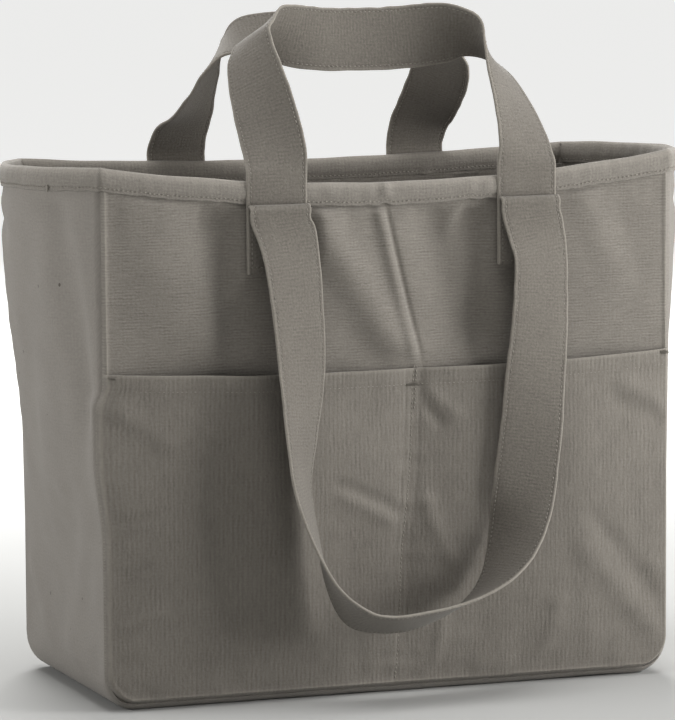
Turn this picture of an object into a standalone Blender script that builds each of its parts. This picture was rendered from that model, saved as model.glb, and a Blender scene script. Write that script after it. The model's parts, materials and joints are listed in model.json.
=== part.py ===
"""Canvas garden tool bag, standing open and empty.

A front panel and a back panel are sewn to one gusset strip that runs down the left side, under the
bag and up the right side. A folded binding covers the rim, a divided pocket covers the lower front,
and each face carries a short carry handle and a long shoulder strap. The two ends of a handle and of
the strap over it are sewn to the panel in one stack, so the sewn ends are pieces of their own and
the free loops turn on them.

Metres, +Z up. The origin is on the ground under the middle of the bag, and the front faces -Y.
"""

import math

import bmesh
import bpy
from mathutils import Vector

COLLECTION = "garden_tool_bag"

# Body
WIDTH = 0.380  # front panel, seam to seam
DEPTH = 0.179  # outside of the front panel to outside of the back panel
FRONT_HEIGHT = 0.338  # at the front corners
BACK_HEIGHT = 0.332  # at the back corners
FRONT_SAG = 0.0145  # how far the middle of the front rim drops below its corners
BACK_SAG = 0.006
CORNER_RADIUS = 0.022  # lower corners of the panels, which the gusset strip follows
GUSSET_BOW = 0.031  # how far a gusset stands out at the rim, half way back
BOW_START = 0.05  # share of the side's height below which a gusset is flat
BOW_FULL = 0.92  # and above which it stands straight up again
CANVAS = 0.0012  # body cloth
GAP = 0.0003  # clearance between pieces that touch

# Rim binding
BINDING_WIDTH = 0.013
BINDING_TAPE = 0.0009

# Front pocket
POCKET_HEIGHT = 0.2115  # at the side seams
POCKET_SAG = 0.005
POCKET_INSET = 0.0006
POCKET_GAPE = 0.0080  # how far each compartment stands off the front panel
DIVIDER_TOP_X = 0.0155
DIVIDER_FOOT_X = 0.0
DIVIDER_FLAT = 0.015  # width sewn flat along the divider
HEM_DROP = 0.010  # hem stitching below the pocket's top edge
DIVIDER_BARTACK = (0.013, 0.0008, 0.0022)
END_BARTACK = (0.0060, 0.0008, 0.0022)
END_BARTACK_LIFT = 0.0018  # clear of the cloth that bulges away from the side seam

# Handles and straps
STRAP_WIDTH = 0.040
STRAP_THICKNESS = 0.0016
LEG_SPREAD = 0.0837  # from the middle of a loop to the middle of each of its ends
FRONT_CENTRE_X = 0.0072
BACK_CENTRE_X = 0.0015
PATCH_FOOT_Z = 0.2705  # lower edge of the sewn ends
STRAP_FOLD_Z = 0.3095  # a shoulder strap folds over and turns here
FOLD_RADIUS = 0.003
HANDLE_HINGE_Z = 0.3300  # a carry handle turns here, beside the top of the rim
JOINT_CLEARANCE = 0.0010  # between a sewn end and the loop that turns on it
# Layers over a panel, as distances from the bag's mid plane to the middle of each strap
HANDLE_LEG_Y = DEPTH / 2 + 2 * GAP + BINDING_TAPE + STRAP_THICKNESS / 2
STRAP_END_Y = HANDLE_LEG_Y + STRAP_THICKNESS + GAP
STRAP_HINGE_Y = STRAP_END_Y + FOLD_RADIUS
STRAP_HANG_Y = STRAP_HINGE_Y + FOLD_RADIUS

# A carry handle from its left hinge to its right hinge: distance from the middle of the loop,
# distance from the bag's mid plane, height, and the turn of the strap about its own length in
# degrees, where -90 lies flat on the panel and 0 has one edge facing outwards. The back handle
# leans further in, over the mouth of the bag.
HANDLE_FOOT = (HANDLE_LEG_Y, HANDLE_HINGE_Z + JOINT_CLEARANCE / 2, -90)
FRONT_HANDLE = (
    (-LEG_SPREAD, *HANDLE_FOOT),
    (-LEG_SPREAD, 0.0916, 0.336, -87),
    (-0.0844, 0.0880, 0.350, -75),
    (-0.0866, 0.0785, 0.371, -61),
    (-0.0887, 0.0670, 0.391, -43),
    (-0.0885, 0.0575, 0.407, -22),
    (-0.0835, 0.0505, 0.417, 10),
    (-0.0710, 0.0455, 0.4185, 56),
    (-0.0515, 0.0420, 0.4150, 84),
    (-0.0310, 0.0403, 0.4125, 96),
    (-0.0110, 0.0397, 0.4120, 98),
    (0.0090, 0.0403, 0.4122, 97),
    (0.0285, 0.0420, 0.4132, 92),
    (0.0465, 0.0455, 0.4148, 76),
    (0.0600, 0.0505, 0.4140, 42),
    (0.0690, 0.0575, 0.4055, -4),
    (0.0755, 0.0670, 0.391, -36),
    (0.0802, 0.0785, 0.371, -54),
    (0.0832, 0.0880, 0.350, -70),
    (LEG_SPREAD, 0.0916, 0.336, -86),
    (LEG_SPREAD, *HANDLE_FOOT),
)
BACK_HANDLE = (
    (-LEG_SPREAD, *HANDLE_FOOT),
    (-LEG_SPREAD, 0.0912, 0.336, -88),
    (-0.0828, 0.0820, 0.350, -78),
    (-0.0810, 0.0660, 0.363, -60),
    (-0.0800, 0.0480, 0.379, -46),
    (-0.0785, 0.0330, 0.394, -30),
    (-0.0730, 0.0250, 0.406, -4),
    (-0.0605, 0.0200, 0.4125, 30),
    (-0.0400, 0.0185, 0.4120, 50),
    (-0.0200, 0.0180, 0.4110, 55),
    (0.0000, 0.0180, 0.4105, 56),
    (0.0200, 0.0180, 0.4110, 55),
    (0.0400, 0.0185, 0.4120, 50),
    (0.0605, 0.0200, 0.4120, 30),
    (0.0735, 0.0250, 0.4055, -4),
    (0.0805, 0.0330, 0.394, -34),
    (0.0840, 0.0480, 0.379, -52),
    (0.0845, 0.0660, 0.363, -68),
    (0.0840, 0.0820, 0.350, -80),
    (LEG_SPREAD, 0.0912, 0.336, -89),
    (LEG_SPREAD, *HANDLE_FOOT),
)

# A shoulder strap as it hangs, from its left fold to its right fold, in the same terms.
STRAP_HANG = (
    (-LEG_SPREAD, STRAP_HANG_Y, STRAP_FOLD_Z, -90),
    (-LEG_SPREAD, STRAP_HANG_Y, 0.304, -89),
    (-0.0792, 0.1012, 0.290, -81),
    (-0.0758, 0.1060, 0.256, -73),
    (-0.0747, 0.1110, 0.213, -65),
    (-0.0770, 0.1165, 0.172, -48),
    (-0.0778, 0.1205, 0.138, -33),
    (-0.0694, 0.1240, 0.102, -20),
    (-0.0600, 0.1265, 0.0765, -4),
    (-0.0438, 0.1280, 0.0563, 18),
    (-0.0250, 0.1285, 0.0512, 23),
    (-0.0050, 0.1285, 0.0520, 25),
    (0.0130, 0.1275, 0.0555, 21),
    (0.0330, 0.1255, 0.0625, 14),
    (0.0490, 0.1220, 0.0730, 0),
    (0.0600, 0.1180, 0.0870, -20),
    (0.0680, 0.1140, 0.104, -40),
    (0.0735, 0.1115, 0.127, -64),
    (0.0785, 0.1095, 0.158, -74),
    (0.0835, 0.1070, 0.198, -86),
    (0.0875, 0.1045, 0.236, -96),
    (0.0895, 0.1020, 0.272, -102),
    (0.0868, 0.1002, 0.292, -97),
    (LEG_SPREAD, STRAP_HANG_Y, 0.304, -91),
    (LEG_SPREAD, STRAP_HANG_Y, STRAP_FOLD_Z, -90),
)

# Mesh density
PANEL_COLUMNS = 14
ARC_ROWS = 4
PANEL_ROWS = 5
SIDE_SHARES = (1.0, BOW_FULL, 0.78, 0.64, 0.50, 0.34, BOW_START)  # rows of a gusset's side
GUSSET_COLUMNS = 8
BASE_STATIONS = 4
COMPARTMENT_COLUMNS = 10
POCKET_ROWS = 7
HANDLE_STEPS = 3  # stations from one listed point to the next
STRAP_STEPS = 2

# Colour, roughness and metallic value of each finish
GUSSET_CANVAS = ((0.225, 0.208, 0.184), 0.92, 0.0)
PANEL_CANVAS = ((0.190, 0.175, 0.155), 0.92, 0.0)
POCKET_CANVAS = ((0.165, 0.152, 0.134), 0.93, 0.0)
BINDING_TWILL = ((0.235, 0.218, 0.194), 0.88, 0.0)
STRAP_CANVAS = ((0.240, 0.222, 0.198), 0.90, 0.0)
THREAD = ((0.205, 0.190, 0.168), 0.75, 0.0)


def clear_scene():
    """Empty the scene so that the script gives the same result on every run."""
    for existing in list(bpy.data.objects):
        bpy.data.objects.remove(existing, do_unlink=True)


def new_collection(name):
    collection = bpy.data.collections.new(name)
    bpy.context.scene.collection.children.link(collection)
    return collection


def new_material(name, finish):
    colour, roughness, metallic = finish
    material = bpy.data.materials.new(name)
    material.use_nodes = True
    shader = material.node_tree.nodes["Principled BSDF"]
    shader.inputs["Base Color"].default_value = (*colour, 1.0)
    shader.inputs["Roughness"].default_value = roughness
    shader.inputs["Metallic"].default_value = metallic
    return material


def lerp(a, b, t):
    return a + (b - a) * t


def smoothstep(t):
    t = min(max(t, 0.0), 1.0)
    return t * t * (3 - 2 * t)


def cloth_grid(columns, rows, place, closed=False):
    """A sheet of quads with its points at place(u, v), u and v from 0 to 1."""
    cage = bmesh.new()
    bmesh.ops.create_grid(cage, x_segments=columns, y_segments=rows, size=1.0)
    for vertex in cage.verts:
        vertex.co = place((vertex.co.x + 1) / 2, (vertex.co.y + 1) / 2)
    if closed:
        bmesh.ops.remove_doubles(cage, verts=cage.verts, dist=0.00005)
    return cage


def add_piece(name, cage, material, collection, origin=(0.0, 0.0, 0.0)):
    """Make the cage an object whose own origin is at the given point."""
    for vertex in cage.verts:
        vertex.co -= Vector(origin)
    mesh = bpy.data.meshes.new(name)
    cage.to_mesh(mesh)
    cage.free()
    mesh.materials.append(material)
    piece = bpy.data.objects.new(name, mesh)
    piece.location = origin
    collection.objects.link(piece)
    return piece


def thicken(piece, thickness, offset, even=False):
    """Give a sheet its cloth thickness: offset -1 is inwards, 0 both ways and 1 outwards."""
    solidify = piece.modifiers.new("cloth", "SOLIDIFY")
    solidify.thickness = thickness
    solidify.offset = offset
    solidify.use_even_offset = even
    return piece


# Body shape


def half_width(z):
    """Half of a panel's width at height z, narrower within the lower corners."""
    if z >= CORNER_RADIUS:
        return WIDTH / 2
    drop = CORNER_RADIUS - z
    return WIDTH / 2 - CORNER_RADIUS + math.sqrt(max(CORNER_RADIUS**2 - drop**2, 0.0))


def front_rim_z(x):
    return FRONT_HEIGHT - FRONT_SAG * (1 - (2 * x / WIDTH) ** 2)


def back_rim_z(x):
    return BACK_HEIGHT - BACK_SAG * (1 - (2 * x / WIDTH) ** 2)


def row_height(v, top, side_rows):
    """Height of a panel's row: the lower rows follow the corner's arc, evenly by angle."""
    arc_share = ARC_ROWS / (ARC_ROWS + side_rows)
    if v < arc_share:
        return CORNER_RADIUS * (1 - math.cos(math.pi / 2 * v / arc_share))
    return lerp(CORNER_RADIUS, top, (v - arc_share) / (1 - arc_share))


def gusset_bow(height_share, y):
    """How far a gusset stands out at a share of its side's height and a distance from mid plane."""
    rise = smoothstep((height_share - BOW_START) / (BOW_FULL - BOW_START))
    return GUSSET_BOW * rise * (1 - (2 * y / DEPTH) ** 2)


def side_rim_z(y):
    return lerp(FRONT_HEIGHT, BACK_HEIGHT, y / DEPTH + 0.5)


def make_panel(name, side, rim_z, material, collection):
    """A flat panel with round lower corners. side is -1 for the front and 1 for the back."""

    def place(u, v):
        across = lerp(1, -1, u) * side
        z = row_height(v, rim_z(across * WIDTH / 2), PANEL_ROWS)
        return Vector((across * half_width(z), side * DEPTH / 2, z))

    cage = cloth_grid(PANEL_COLUMNS, ARC_ROWS + PANEL_ROWS, place)
    return thicken(add_piece(name, cage, material, collection), CANVAS, -1)


def gusset_column_y():
    """Where the columns of the gusset strip lie between the two panels."""
    reach = DEPTH / 2 - CANVAS - GAP
    return [lerp(-reach, reach, i / GUSSET_COLUMNS) for i in range(GUSSET_COLUMNS + 1)]


def gusset_path(y):
    """The strip's outer face at one column, from the right rim under the bag to the left rim."""
    half_base = WIDTH / 2 - CORNER_RADIUS
    right = []
    for share in SIDE_SHARES:
        z = lerp(CORNER_RADIUS, side_rim_z(y), share)
        right.append(Vector((WIDTH / 2 + gusset_bow(share, y), y, z)))
    for i in range(ARC_ROWS + 1):
        angle = math.pi / 2 * i / ARC_ROWS
        x = half_base + CORNER_RADIUS * math.cos(angle)
        right.append(Vector((x, y, CORNER_RADIUS * (1 - math.sin(angle)))))
    inner = range(1, BASE_STATIONS)
    base = [Vector((lerp(half_base, -half_base, i / BASE_STATIONS), y, 0.0)) for i in inner]
    left = [Vector((-point.x, y, point.z)) for point in reversed(right)]
    return right + base + left


def make_gusset(material, collection):
    """One strip of cloth that makes both sides and the base."""
    paths = [gusset_path(y) for y in gusset_column_y()]
    stations = len(paths[0]) - 1

    def place(u, v):
        return paths[round(v * GUSSET_COLUMNS)][round(u * stations)]

    cage = cloth_grid(stations, GUSSET_COLUMNS, place)
    return thicken(add_piece("gusset_strip", cage, material, collection), CANVAS, -1)


# Rim binding


def rim_loop():
    """The outer edge of the rim as a closed list of points, counter-clockwise from above."""
    half_x, half_y = WIDTH / 2, DEPTH / 2
    front_x = [lerp(-half_x, half_x, i / PANEL_COLUMNS) for i in range(PANEL_COLUMNS + 1)]
    side_y = gusset_column_y()[1:-1]
    front = [Vector((x, -half_y, front_rim_z(x))) for x in front_x]
    right = [Vector((half_x + gusset_bow(1.0, y), y, side_rim_z(y))) for y in side_y]
    back = [Vector((x, half_y, back_rim_z(x))) for x in reversed(front_x)]
    left = [Vector((-point.x, point.y, point.z)) for point in reversed(right)]
    return front + right + back + left


def moved_out(loop, distance):
    """The loop moved outwards in plan by a distance, with mitred corners."""
    moved = []
    for i, point in enumerate(loop):
        before = (point - loop[i - 1]).to_2d().normalized()
        after = (loop[(i + 1) % len(loop)] - point).to_2d().normalized()
        normal_before = Vector((before.y, -before.x))
        normal_after = Vector((after.y, -after.x))
        mitre = (normal_before + normal_after).normalized()
        offset = mitre * (distance / mitre.dot(normal_before))
        moved.append(point + Vector((offset.x, offset.y, 0.0)))
    return moved


def make_binding(material, collection):
    """Tape folded over the rim: down the outside, over the top and down the inside."""
    loop = rim_loop()
    outside = moved_out(loop, GAP)
    inside = moved_out(loop, -CANVAS - GAP)
    foot = Vector((0.0, 0.0, GAP - BINDING_WIDTH))
    crown = Vector((0.0, 0.0, GAP))
    runs = (
        [point + foot for point in outside],
        [point + crown for point in outside],
        [point + crown for point in inside],
        [point + foot for point in inside],
    )

    def place(u, v):
        run = runs[round(v * (len(runs) - 1))]
        return run[round(u * len(loop)) % len(loop)]

    cage = cloth_grid(len(loop), len(runs) - 1, place, closed=True)
    piece = add_piece("rim_binding", cage, material, collection)
    return thicken(piece, BINDING_TAPE, 1, even=True)


# Front pocket


def pocket_top_z(x):
    return POCKET_HEIGHT - POCKET_SAG * (1 - (2 * x / WIDTH) ** 2)


def divider_x(z):
    return lerp(DIVIDER_FOOT_X, DIVIDER_TOP_X, z / POCKET_HEIGHT)


def pocket_point(column, v):
    """A point of the pocket's outer face. The columns of one compartment follow the other's."""
    z = row_height(v, POCKET_HEIGHT, POCKET_ROWS)
    edge = half_width(z) - POCKET_INSET
    if column <= COMPARTMENT_COLUMNS:
        share = column / COMPARTMENT_COLUMNS
        x = lerp(-edge, divider_x(z) - DIVIDER_FLAT / 2, share)
    else:
        share = (column - COMPARTMENT_COLUMNS - 1) / COMPARTMENT_COLUMNS
        x = lerp(divider_x(z) + DIVIDER_FLAT / 2, edge, share)
    crown = max(math.sin(math.pi * share), 0.0) ** 0.6
    fullness = math.sin(math.pi / 2 * v) ** 0.8
    stand_off = GAP + CANVAS + POCKET_GAPE * crown * fullness
    z *= pocket_top_z(x) / POCKET_HEIGHT
    return Vector((x, -DEPTH / 2 - stand_off, z + POCKET_INSET))


def make_pocket(material, collection):
    """One panel that makes both compartments, sewn down along its edges and its divider."""
    columns = 2 * COMPARTMENT_COLUMNS + 1

    def place(u, v):
        return pocket_point(round(u * columns), v)

    cage = cloth_grid(columns, ARC_ROWS + POCKET_ROWS, place)
    return thicken(add_piece("front_pocket", cage, material, collection), CANVAS, -1)


def make_bartack(name, x, drop, lift, size, material, collection):
    """A short block of dense stitching on the pocket's face, a little below its top edge."""
    cage = bmesh.new()
    bmesh.ops.create_cube(cage, size=1.0)
    bmesh.ops.scale(cage, vec=size, verts=cage.verts)
    y = -DEPTH / 2 - CANVAS - 2 * GAP - size[1] / 2 - lift
    bmesh.ops.translate(cage, vec=(x, y, pocket_top_z(x) - drop), verts=cage.verts)
    return add_piece(name, cage, material, collection)


# Handles and straps


def spline_value(values, position):
    """Catmull-Rom value at a position counted in list steps."""
    last = len(values) - 1
    i = min(int(position), last - 1)
    t = position - i
    a = values[max(i - 1, 0)]
    b = values[i]
    c = values[i + 1]
    d = values[min(i + 2, last)]
    return 0.5 * (2 * b + (c - a) * t + (2 * a - 5 * b + 4 * c - d) * t**2 + (3 * b - 3 * c + d - a) * t**3)


def ribbon_stations(route, steps):
    """Centre and half-width vector at each station of a strap that follows the route.

    The two ends are cut square to the route's first and last legs, so they clear what they face.
    """
    count = (len(route) - 1) * steps
    columns = [[point[k] for point in route] for k in range(4)]
    samples = [[spline_value(column, i / steps) for column in columns] for i in range(count + 1)]
    stations = []
    for i, (x, y, z, turn) in enumerate(samples):
        before, after = samples[max(i - 1, 0)], samples[min(i + 1, count)]
        if i == 0:
            before, after = route[0], route[1]
        elif i == count:
            before, after = route[-2], route[-1]
        along = (Vector(after[:3]) - Vector(before[:3])).normalized()
        outwards = Vector((0.0, math.copysign(1.0, y), 0.0))
        edge_on = (outwards - along * outwards.dot(along)).normalized()
        flat = edge_on.cross(along) * -outwards.y
        angle = math.radians(turn)
        half = (edge_on * math.cos(angle) + flat * math.sin(angle)) * STRAP_WIDTH / 2
        stations.append((Vector((x, y, z)), half))
    return stations


def make_strap(name, route, steps, origin, material, collection):
    """A flat strap along a route of (x, y, z, turn) points."""
    stations = ribbon_stations(route, steps)

    def place(u, v):
        centre, half = stations[round(u * (len(stations) - 1))]
        return centre + half * (2 * v - 1)

    cage = cloth_grid(len(stations) - 1, 1, place)
    return thicken(add_piece(name, cage, material, collection, origin), STRAP_THICKNESS, 0)


def placed(route, side, centre_x):
    """A route moved to one face of the bag: side is -1 for the front and 1 for the back."""
    return [(centre_x + x, side * y, z, turn) for x, y, z, turn in route]


def make_sewn_end(name, x, y, top, side, material, collection):
    """The flat end of a strap where it is sewn to the panel. y is its distance from mid plane."""
    route = placed([(x, y, PATCH_FOOT_Z, -90), (x, y, top, -90)], side, 0.0)
    return make_strap(name, route, 1, (0.0, 0.0, 0.0), material, collection)


def make_face_straps(face, side, centre_x, handle, material, collection):
    """The carry handle and the shoulder strap of one face, with their four sewn ends."""
    for end, sign in (("left", -1), ("right", 1)):
        x = centre_x + sign * LEG_SPREAD
        handle_top = HANDLE_HINGE_Z - JOINT_CLEARANCE / 2
        make_sewn_end(f"{face}_handle_{end}_end", x, HANDLE_LEG_Y, handle_top, side, material, collection)
        strap_top = STRAP_FOLD_Z - JOINT_CLEARANCE
        make_sewn_end(f"{face}_strap_{end}_end", x, STRAP_END_Y, strap_top, side, material, collection)
    handle_hinge = (centre_x, side * HANDLE_LEG_Y, HANDLE_HINGE_Z)
    route = placed(handle, side, centre_x)
    make_strap(f"{face}_carry_handle", route, HANDLE_STEPS, handle_hinge, material, collection)
    strap_hinge = (centre_x, side * STRAP_HINGE_Y, STRAP_FOLD_Z)
    route = placed(STRAP_HANG, side, centre_x)
    make_strap(f"{face}_shoulder_strap", route, STRAP_STEPS, strap_hinge, material, collection)


def main():
    clear_scene()
    bag = new_collection(COLLECTION)
    panel_canvas = new_material("panel_canvas", PANEL_CANVAS)
    gusset_canvas = new_material("gusset_canvas", GUSSET_CANVAS)
    pocket_canvas = new_material("pocket_canvas", POCKET_CANVAS)
    binding_twill = new_material("binding_twill", BINDING_TWILL)
    strap_canvas = new_material("strap_canvas", STRAP_CANVAS)
    thread = new_material("thread", THREAD)

    make_panel("front_panel", -1, front_rim_z, panel_canvas, bag)
    make_panel("back_panel", 1, back_rim_z, panel_canvas, bag)
    make_gusset(gusset_canvas, bag)
    make_binding(binding_twill, bag)
    make_pocket(pocket_canvas, bag)

    divider = divider_x(POCKET_HEIGHT - HEM_DROP)
    make_bartack("pocket_divider_bartack", divider, HEM_DROP, 0.0, DIVIDER_BARTACK, thread, bag)
    for end, sign in (("left", -1), ("right", 1)):
        x = sign * (WIDTH / 2 - POCKET_INSET - END_BARTACK[0] / 2)
        name = f"pocket_{end}_bartack"
        make_bartack(name, x, END_BARTACK[2], END_BARTACK_LIFT, END_BARTACK, thread, bag)

    make_face_straps("front", -1, FRONT_CENTRE_X, FRONT_HANDLE, strap_canvas, bag)
    make_face_straps("back", 1, BACK_CENTRE_X, BACK_HANDLE, strap_canvas, bag)


main()
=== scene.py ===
"""The looks of a canvas garden tool bag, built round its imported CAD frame.

Every cloth piece is a closed shell of real thickness laid out by a rule of its own: two panels, the
gusset strip, the divided pocket, the rim binding, four straps and the seam allowances inside. Rows of
stitches follow the same surfaces. Metres, +Z up, the front faces -Y.
"""

import json
import logging
import math
from dataclasses import dataclass
from enum import Enum

import bpy
import numpy as np
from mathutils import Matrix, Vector

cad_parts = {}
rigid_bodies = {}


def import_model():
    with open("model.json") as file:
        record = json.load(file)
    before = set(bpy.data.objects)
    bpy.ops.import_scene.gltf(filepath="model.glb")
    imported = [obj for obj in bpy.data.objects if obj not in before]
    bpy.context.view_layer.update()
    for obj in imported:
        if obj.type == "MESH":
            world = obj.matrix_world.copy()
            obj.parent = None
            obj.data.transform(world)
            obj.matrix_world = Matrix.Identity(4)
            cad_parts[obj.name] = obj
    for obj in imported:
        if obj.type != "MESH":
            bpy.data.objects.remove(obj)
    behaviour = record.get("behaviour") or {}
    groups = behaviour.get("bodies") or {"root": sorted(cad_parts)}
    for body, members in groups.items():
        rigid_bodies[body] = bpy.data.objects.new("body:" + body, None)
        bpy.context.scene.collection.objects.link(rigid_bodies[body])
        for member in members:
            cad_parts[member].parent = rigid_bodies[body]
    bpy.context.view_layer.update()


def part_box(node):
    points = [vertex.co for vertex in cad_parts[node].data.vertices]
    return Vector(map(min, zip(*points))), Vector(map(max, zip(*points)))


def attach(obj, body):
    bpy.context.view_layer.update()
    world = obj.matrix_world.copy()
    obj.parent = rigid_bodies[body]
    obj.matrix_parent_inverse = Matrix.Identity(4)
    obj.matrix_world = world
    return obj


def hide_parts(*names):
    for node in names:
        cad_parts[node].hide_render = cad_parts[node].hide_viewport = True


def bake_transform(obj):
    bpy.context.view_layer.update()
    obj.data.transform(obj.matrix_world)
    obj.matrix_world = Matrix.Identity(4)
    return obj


LOG = logging.getLogger("garden_tool_bag")

for leftover in list(bpy.data.objects):
    bpy.data.objects.remove(leftover, do_unlink=True)
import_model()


class Face(Enum):
    """The two faces of the bag, as the sign of Y that they look along."""

    FRONT = -1
    BACK = 1


# Finishes


def linear(hex_colour: str) -> tuple[float, float, float, float]:
    """Turn an sRGB hex colour into the linear colour that a shader takes.

    Args:
        hex_colour: Six hex digits after a hash sign.

    Returns:
        Linear red, green, blue and an alpha of one.
    """
    parts = [int(hex_colour[i : i + 2], 16) / 255 for i in (1, 3, 5)]
    return (*[c / 12.92 if c <= 0.04045 else ((c + 0.055) / 1.055) ** 2.4 for c in parts], 1.0)


def add_node(
    tree: bpy.types.NodeTree,
    kind: str,
    values: dict | None = None,
    links: dict | None = None,
    **settings: object,
) -> bpy.types.Node:
    """Add one node to a tree.

    Args:
        tree: The tree it goes in.
        kind: The node's type.
        values: Socket name or number to the value that it holds.
        links: Socket name or number to the output that feeds it.
        **settings: The node's own settings.

    Returns:
        The node.
    """
    node = tree.nodes.new(kind)
    for name, setting in settings.items():
        setattr(node, name, setting)
    for socket, value in (values or {}).items():
        node.inputs[socket].default_value = value
    for socket, source in (links or {}).items():
        tree.links.new(source, node.inputs[socket])
    return node


@dataclass(frozen=True)
class CanvasFinish:
    """Woven cotton canvas, dyed in the piece: matt, uneven in tone, with raised threads.

    The real threads are about half a millimetre apart, too fine to show, so the ribs are drawn at
    the pitch at which the thicker ones stand out.
    """

    name: str
    base: str  # the middle tone
    shade: str  # between the threads
    rib_across_mm: float  # pitch of the ribs that run up the cloth
    rib_up_mm: float  # pitch of the ribs that run across it
    across_share: float  # how much each of the two sets of ribs shows
    up_share: float
    upright: float  # how much of the rest is upright streaks, and how much level ones
    level: float
    relief_mm: float = 0.6
    contrast: float = 2.6
    mottle: float = 0.55
    fleck_share: float = 0.0  # share of the 11 mm cells that hold a fleck of seed husk
    edge_highlight: str = "#a39d93"  # painted highlight on edges and seam ridges

    def build(self) -> bpy.types.Material:
        """Make the material from the cloth's own coordinates, which are in metres."""
        material = bpy.data.materials.new(self.name)
        material.use_nodes = True
        tree = material.node_tree
        shader = tree.nodes["Principled BSDF"]
        shader.inputs["Roughness"].default_value = 0.92
        shader.inputs["Specular IOR Level"].default_value = 0.22
        shader.inputs["Sheen Weight"].default_value = 0.12
        shader.inputs["Sheen Roughness"].default_value = 0.6

        place = add_node(tree, "ShaderNodeTexCoord").outputs["UV"]
        to_mm = {"Scale": (1000.0, 1000.0, 1000.0)}
        in_mm = add_node(tree, "ShaderNodeMapping", to_mm, {"Vector": place}).outputs["Vector"]
        drift = add_node(tree, "ShaderNodeTexNoise", {"Scale": 0.30, "Detail": 2.0}, {"Vector": in_mm})
        middle = {1: (0.5, 0.5, 0.5)}
        drifting = {0: drift.outputs["Color"]}
        centred = add_node(tree, "ShaderNodeVectorMath", middle, drifting, operation="SUBTRACT")
        scaled = add_node(
            tree, "ShaderNodeVectorMath", {"Scale": 1.8}, {0: centred.outputs[0]}, operation="SCALE"
        )
        threads = add_node(
            tree, "ShaderNodeVectorMath", {}, {0: in_mm, 1: scaled.outputs[0]}, operation="ADD"
        ).outputs[0]

        wave_step = math.pi / 10  # a wave texture of scale 1 repeats after this many units
        patches = add_node(tree, "ShaderNodeTexNoise", {"Scale": 0.11, "Detail": 2.0}, {"Vector": in_mm})
        patchy = add_node(
            tree,
            "ShaderNodeMapRange",
            {"From Min": 0.38, "From Max": 0.62, "To Min": 0.15, "To Max": 1.0},
            {"Value": patches.outputs["Fac"]},
        ).outputs["Result"]
        ribs = []
        for direction, pitch in (("X", self.rib_across_mm), ("Y", self.rib_up_mm)):
            wave = add_node(
                tree,
                "ShaderNodeTexWave",
                {"Scale": wave_step / pitch, "Distortion": 1.6, "Detail": 2.0},
                {"Vector": threads},
                wave_type="BANDS",
                bands_direction=direction,
            )
            uneven = add_node(tree, "ShaderNodeMix", {2: 0.5}, {0: patchy, 3: wave.outputs["Fac"]})
            ribs.append(uneven.outputs[0])
        grain = add_node(
            tree, "ShaderNodeTexNoise", {"Scale": 0.62, "Detail": 3.0, "Roughness": 0.7}, {"Vector": in_mm}
        )
        slubs = []
        for stretch in ((0.10, 0.8, 1.0), (0.8, 0.10, 1.0)):
            longer = add_node(tree, "ShaderNodeMapping", {"Scale": stretch}, {"Vector": in_mm})
            along = {"Vector": longer.outputs["Vector"]}
            noise = add_node(tree, "ShaderNodeTexNoise", {"Scale": 1.0, "Detail": 2.0}, along)
            slubs.append(noise.outputs["Fac"])
        tone = add_node(
            tree, "ShaderNodeTexNoise", {"Scale": 0.022, "Detail": 4.0, "Roughness": 0.6}, {"Vector": in_mm}
        )

        rest = 1.0 - self.across_share - self.up_share
        weave = self._sum(
            tree,
            (ribs[0], self.across_share),
            (ribs[1], self.up_share),
            (grain.outputs["Fac"], rest * (1 - self.upright - self.level)),
            (slubs[0], rest * self.level),
            (slubs[1], rest * self.upright),
        )
        share = self._sum(
            tree,
            (weave, self.contrast),
            (tone.outputs["Fac"], self.mottle),
            start=0.62 - 0.5 * (self.contrast + self.mottle),
        )
        tones = {6: linear(self.shade), 7: linear(self.base)}
        cloth = add_node(tree, "ShaderNodeMix", tones, {0: share}, data_type="RGBA").outputs[2]
        if self.fleck_share:
            cloth = self._flecked(tree, in_mm, cloth)
        # Painted highlight: a lighter tone mixed in where the edge attribute is set, along edges and seam
        # ridges.
        edge = add_node(tree, "ShaderNodeAttribute", attribute_name="edge").outputs["Fac"]
        highlight_tone = {7: linear(self.edge_highlight)}
        edge_highlight = add_node(tree, "ShaderNodeMix", highlight_tone, {0: edge, 6: cloth}, data_type="RGBA").outputs[2]
        raised = {"Strength": 0.75, "Distance": self.relief_mm / 1000}
        bump = add_node(tree, "ShaderNodeBump", raised, {"Height": weave})
        tree.links.new(edge_highlight, shader.inputs["Base Color"])
        tree.links.new(bump.outputs["Normal"], shader.inputs["Normal"])
        return material

    @staticmethod
    def _sum(
        tree: bpy.types.NodeTree, *terms: tuple[bpy.types.NodeSocket, float], start: float = 0.0
    ) -> bpy.types.NodeSocket:
        """Add up outputs, each times its share, from a starting value."""
        total = None
        for source, share in terms:
            links = {0: source} if total is None else {0: source, 2: total}
            values = {1: share, 2: start} if total is None else {1: share}
            total = add_node(tree, "ShaderNodeMath", values, links, operation="MULTIPLY_ADD").outputs[0]
        return total

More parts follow.
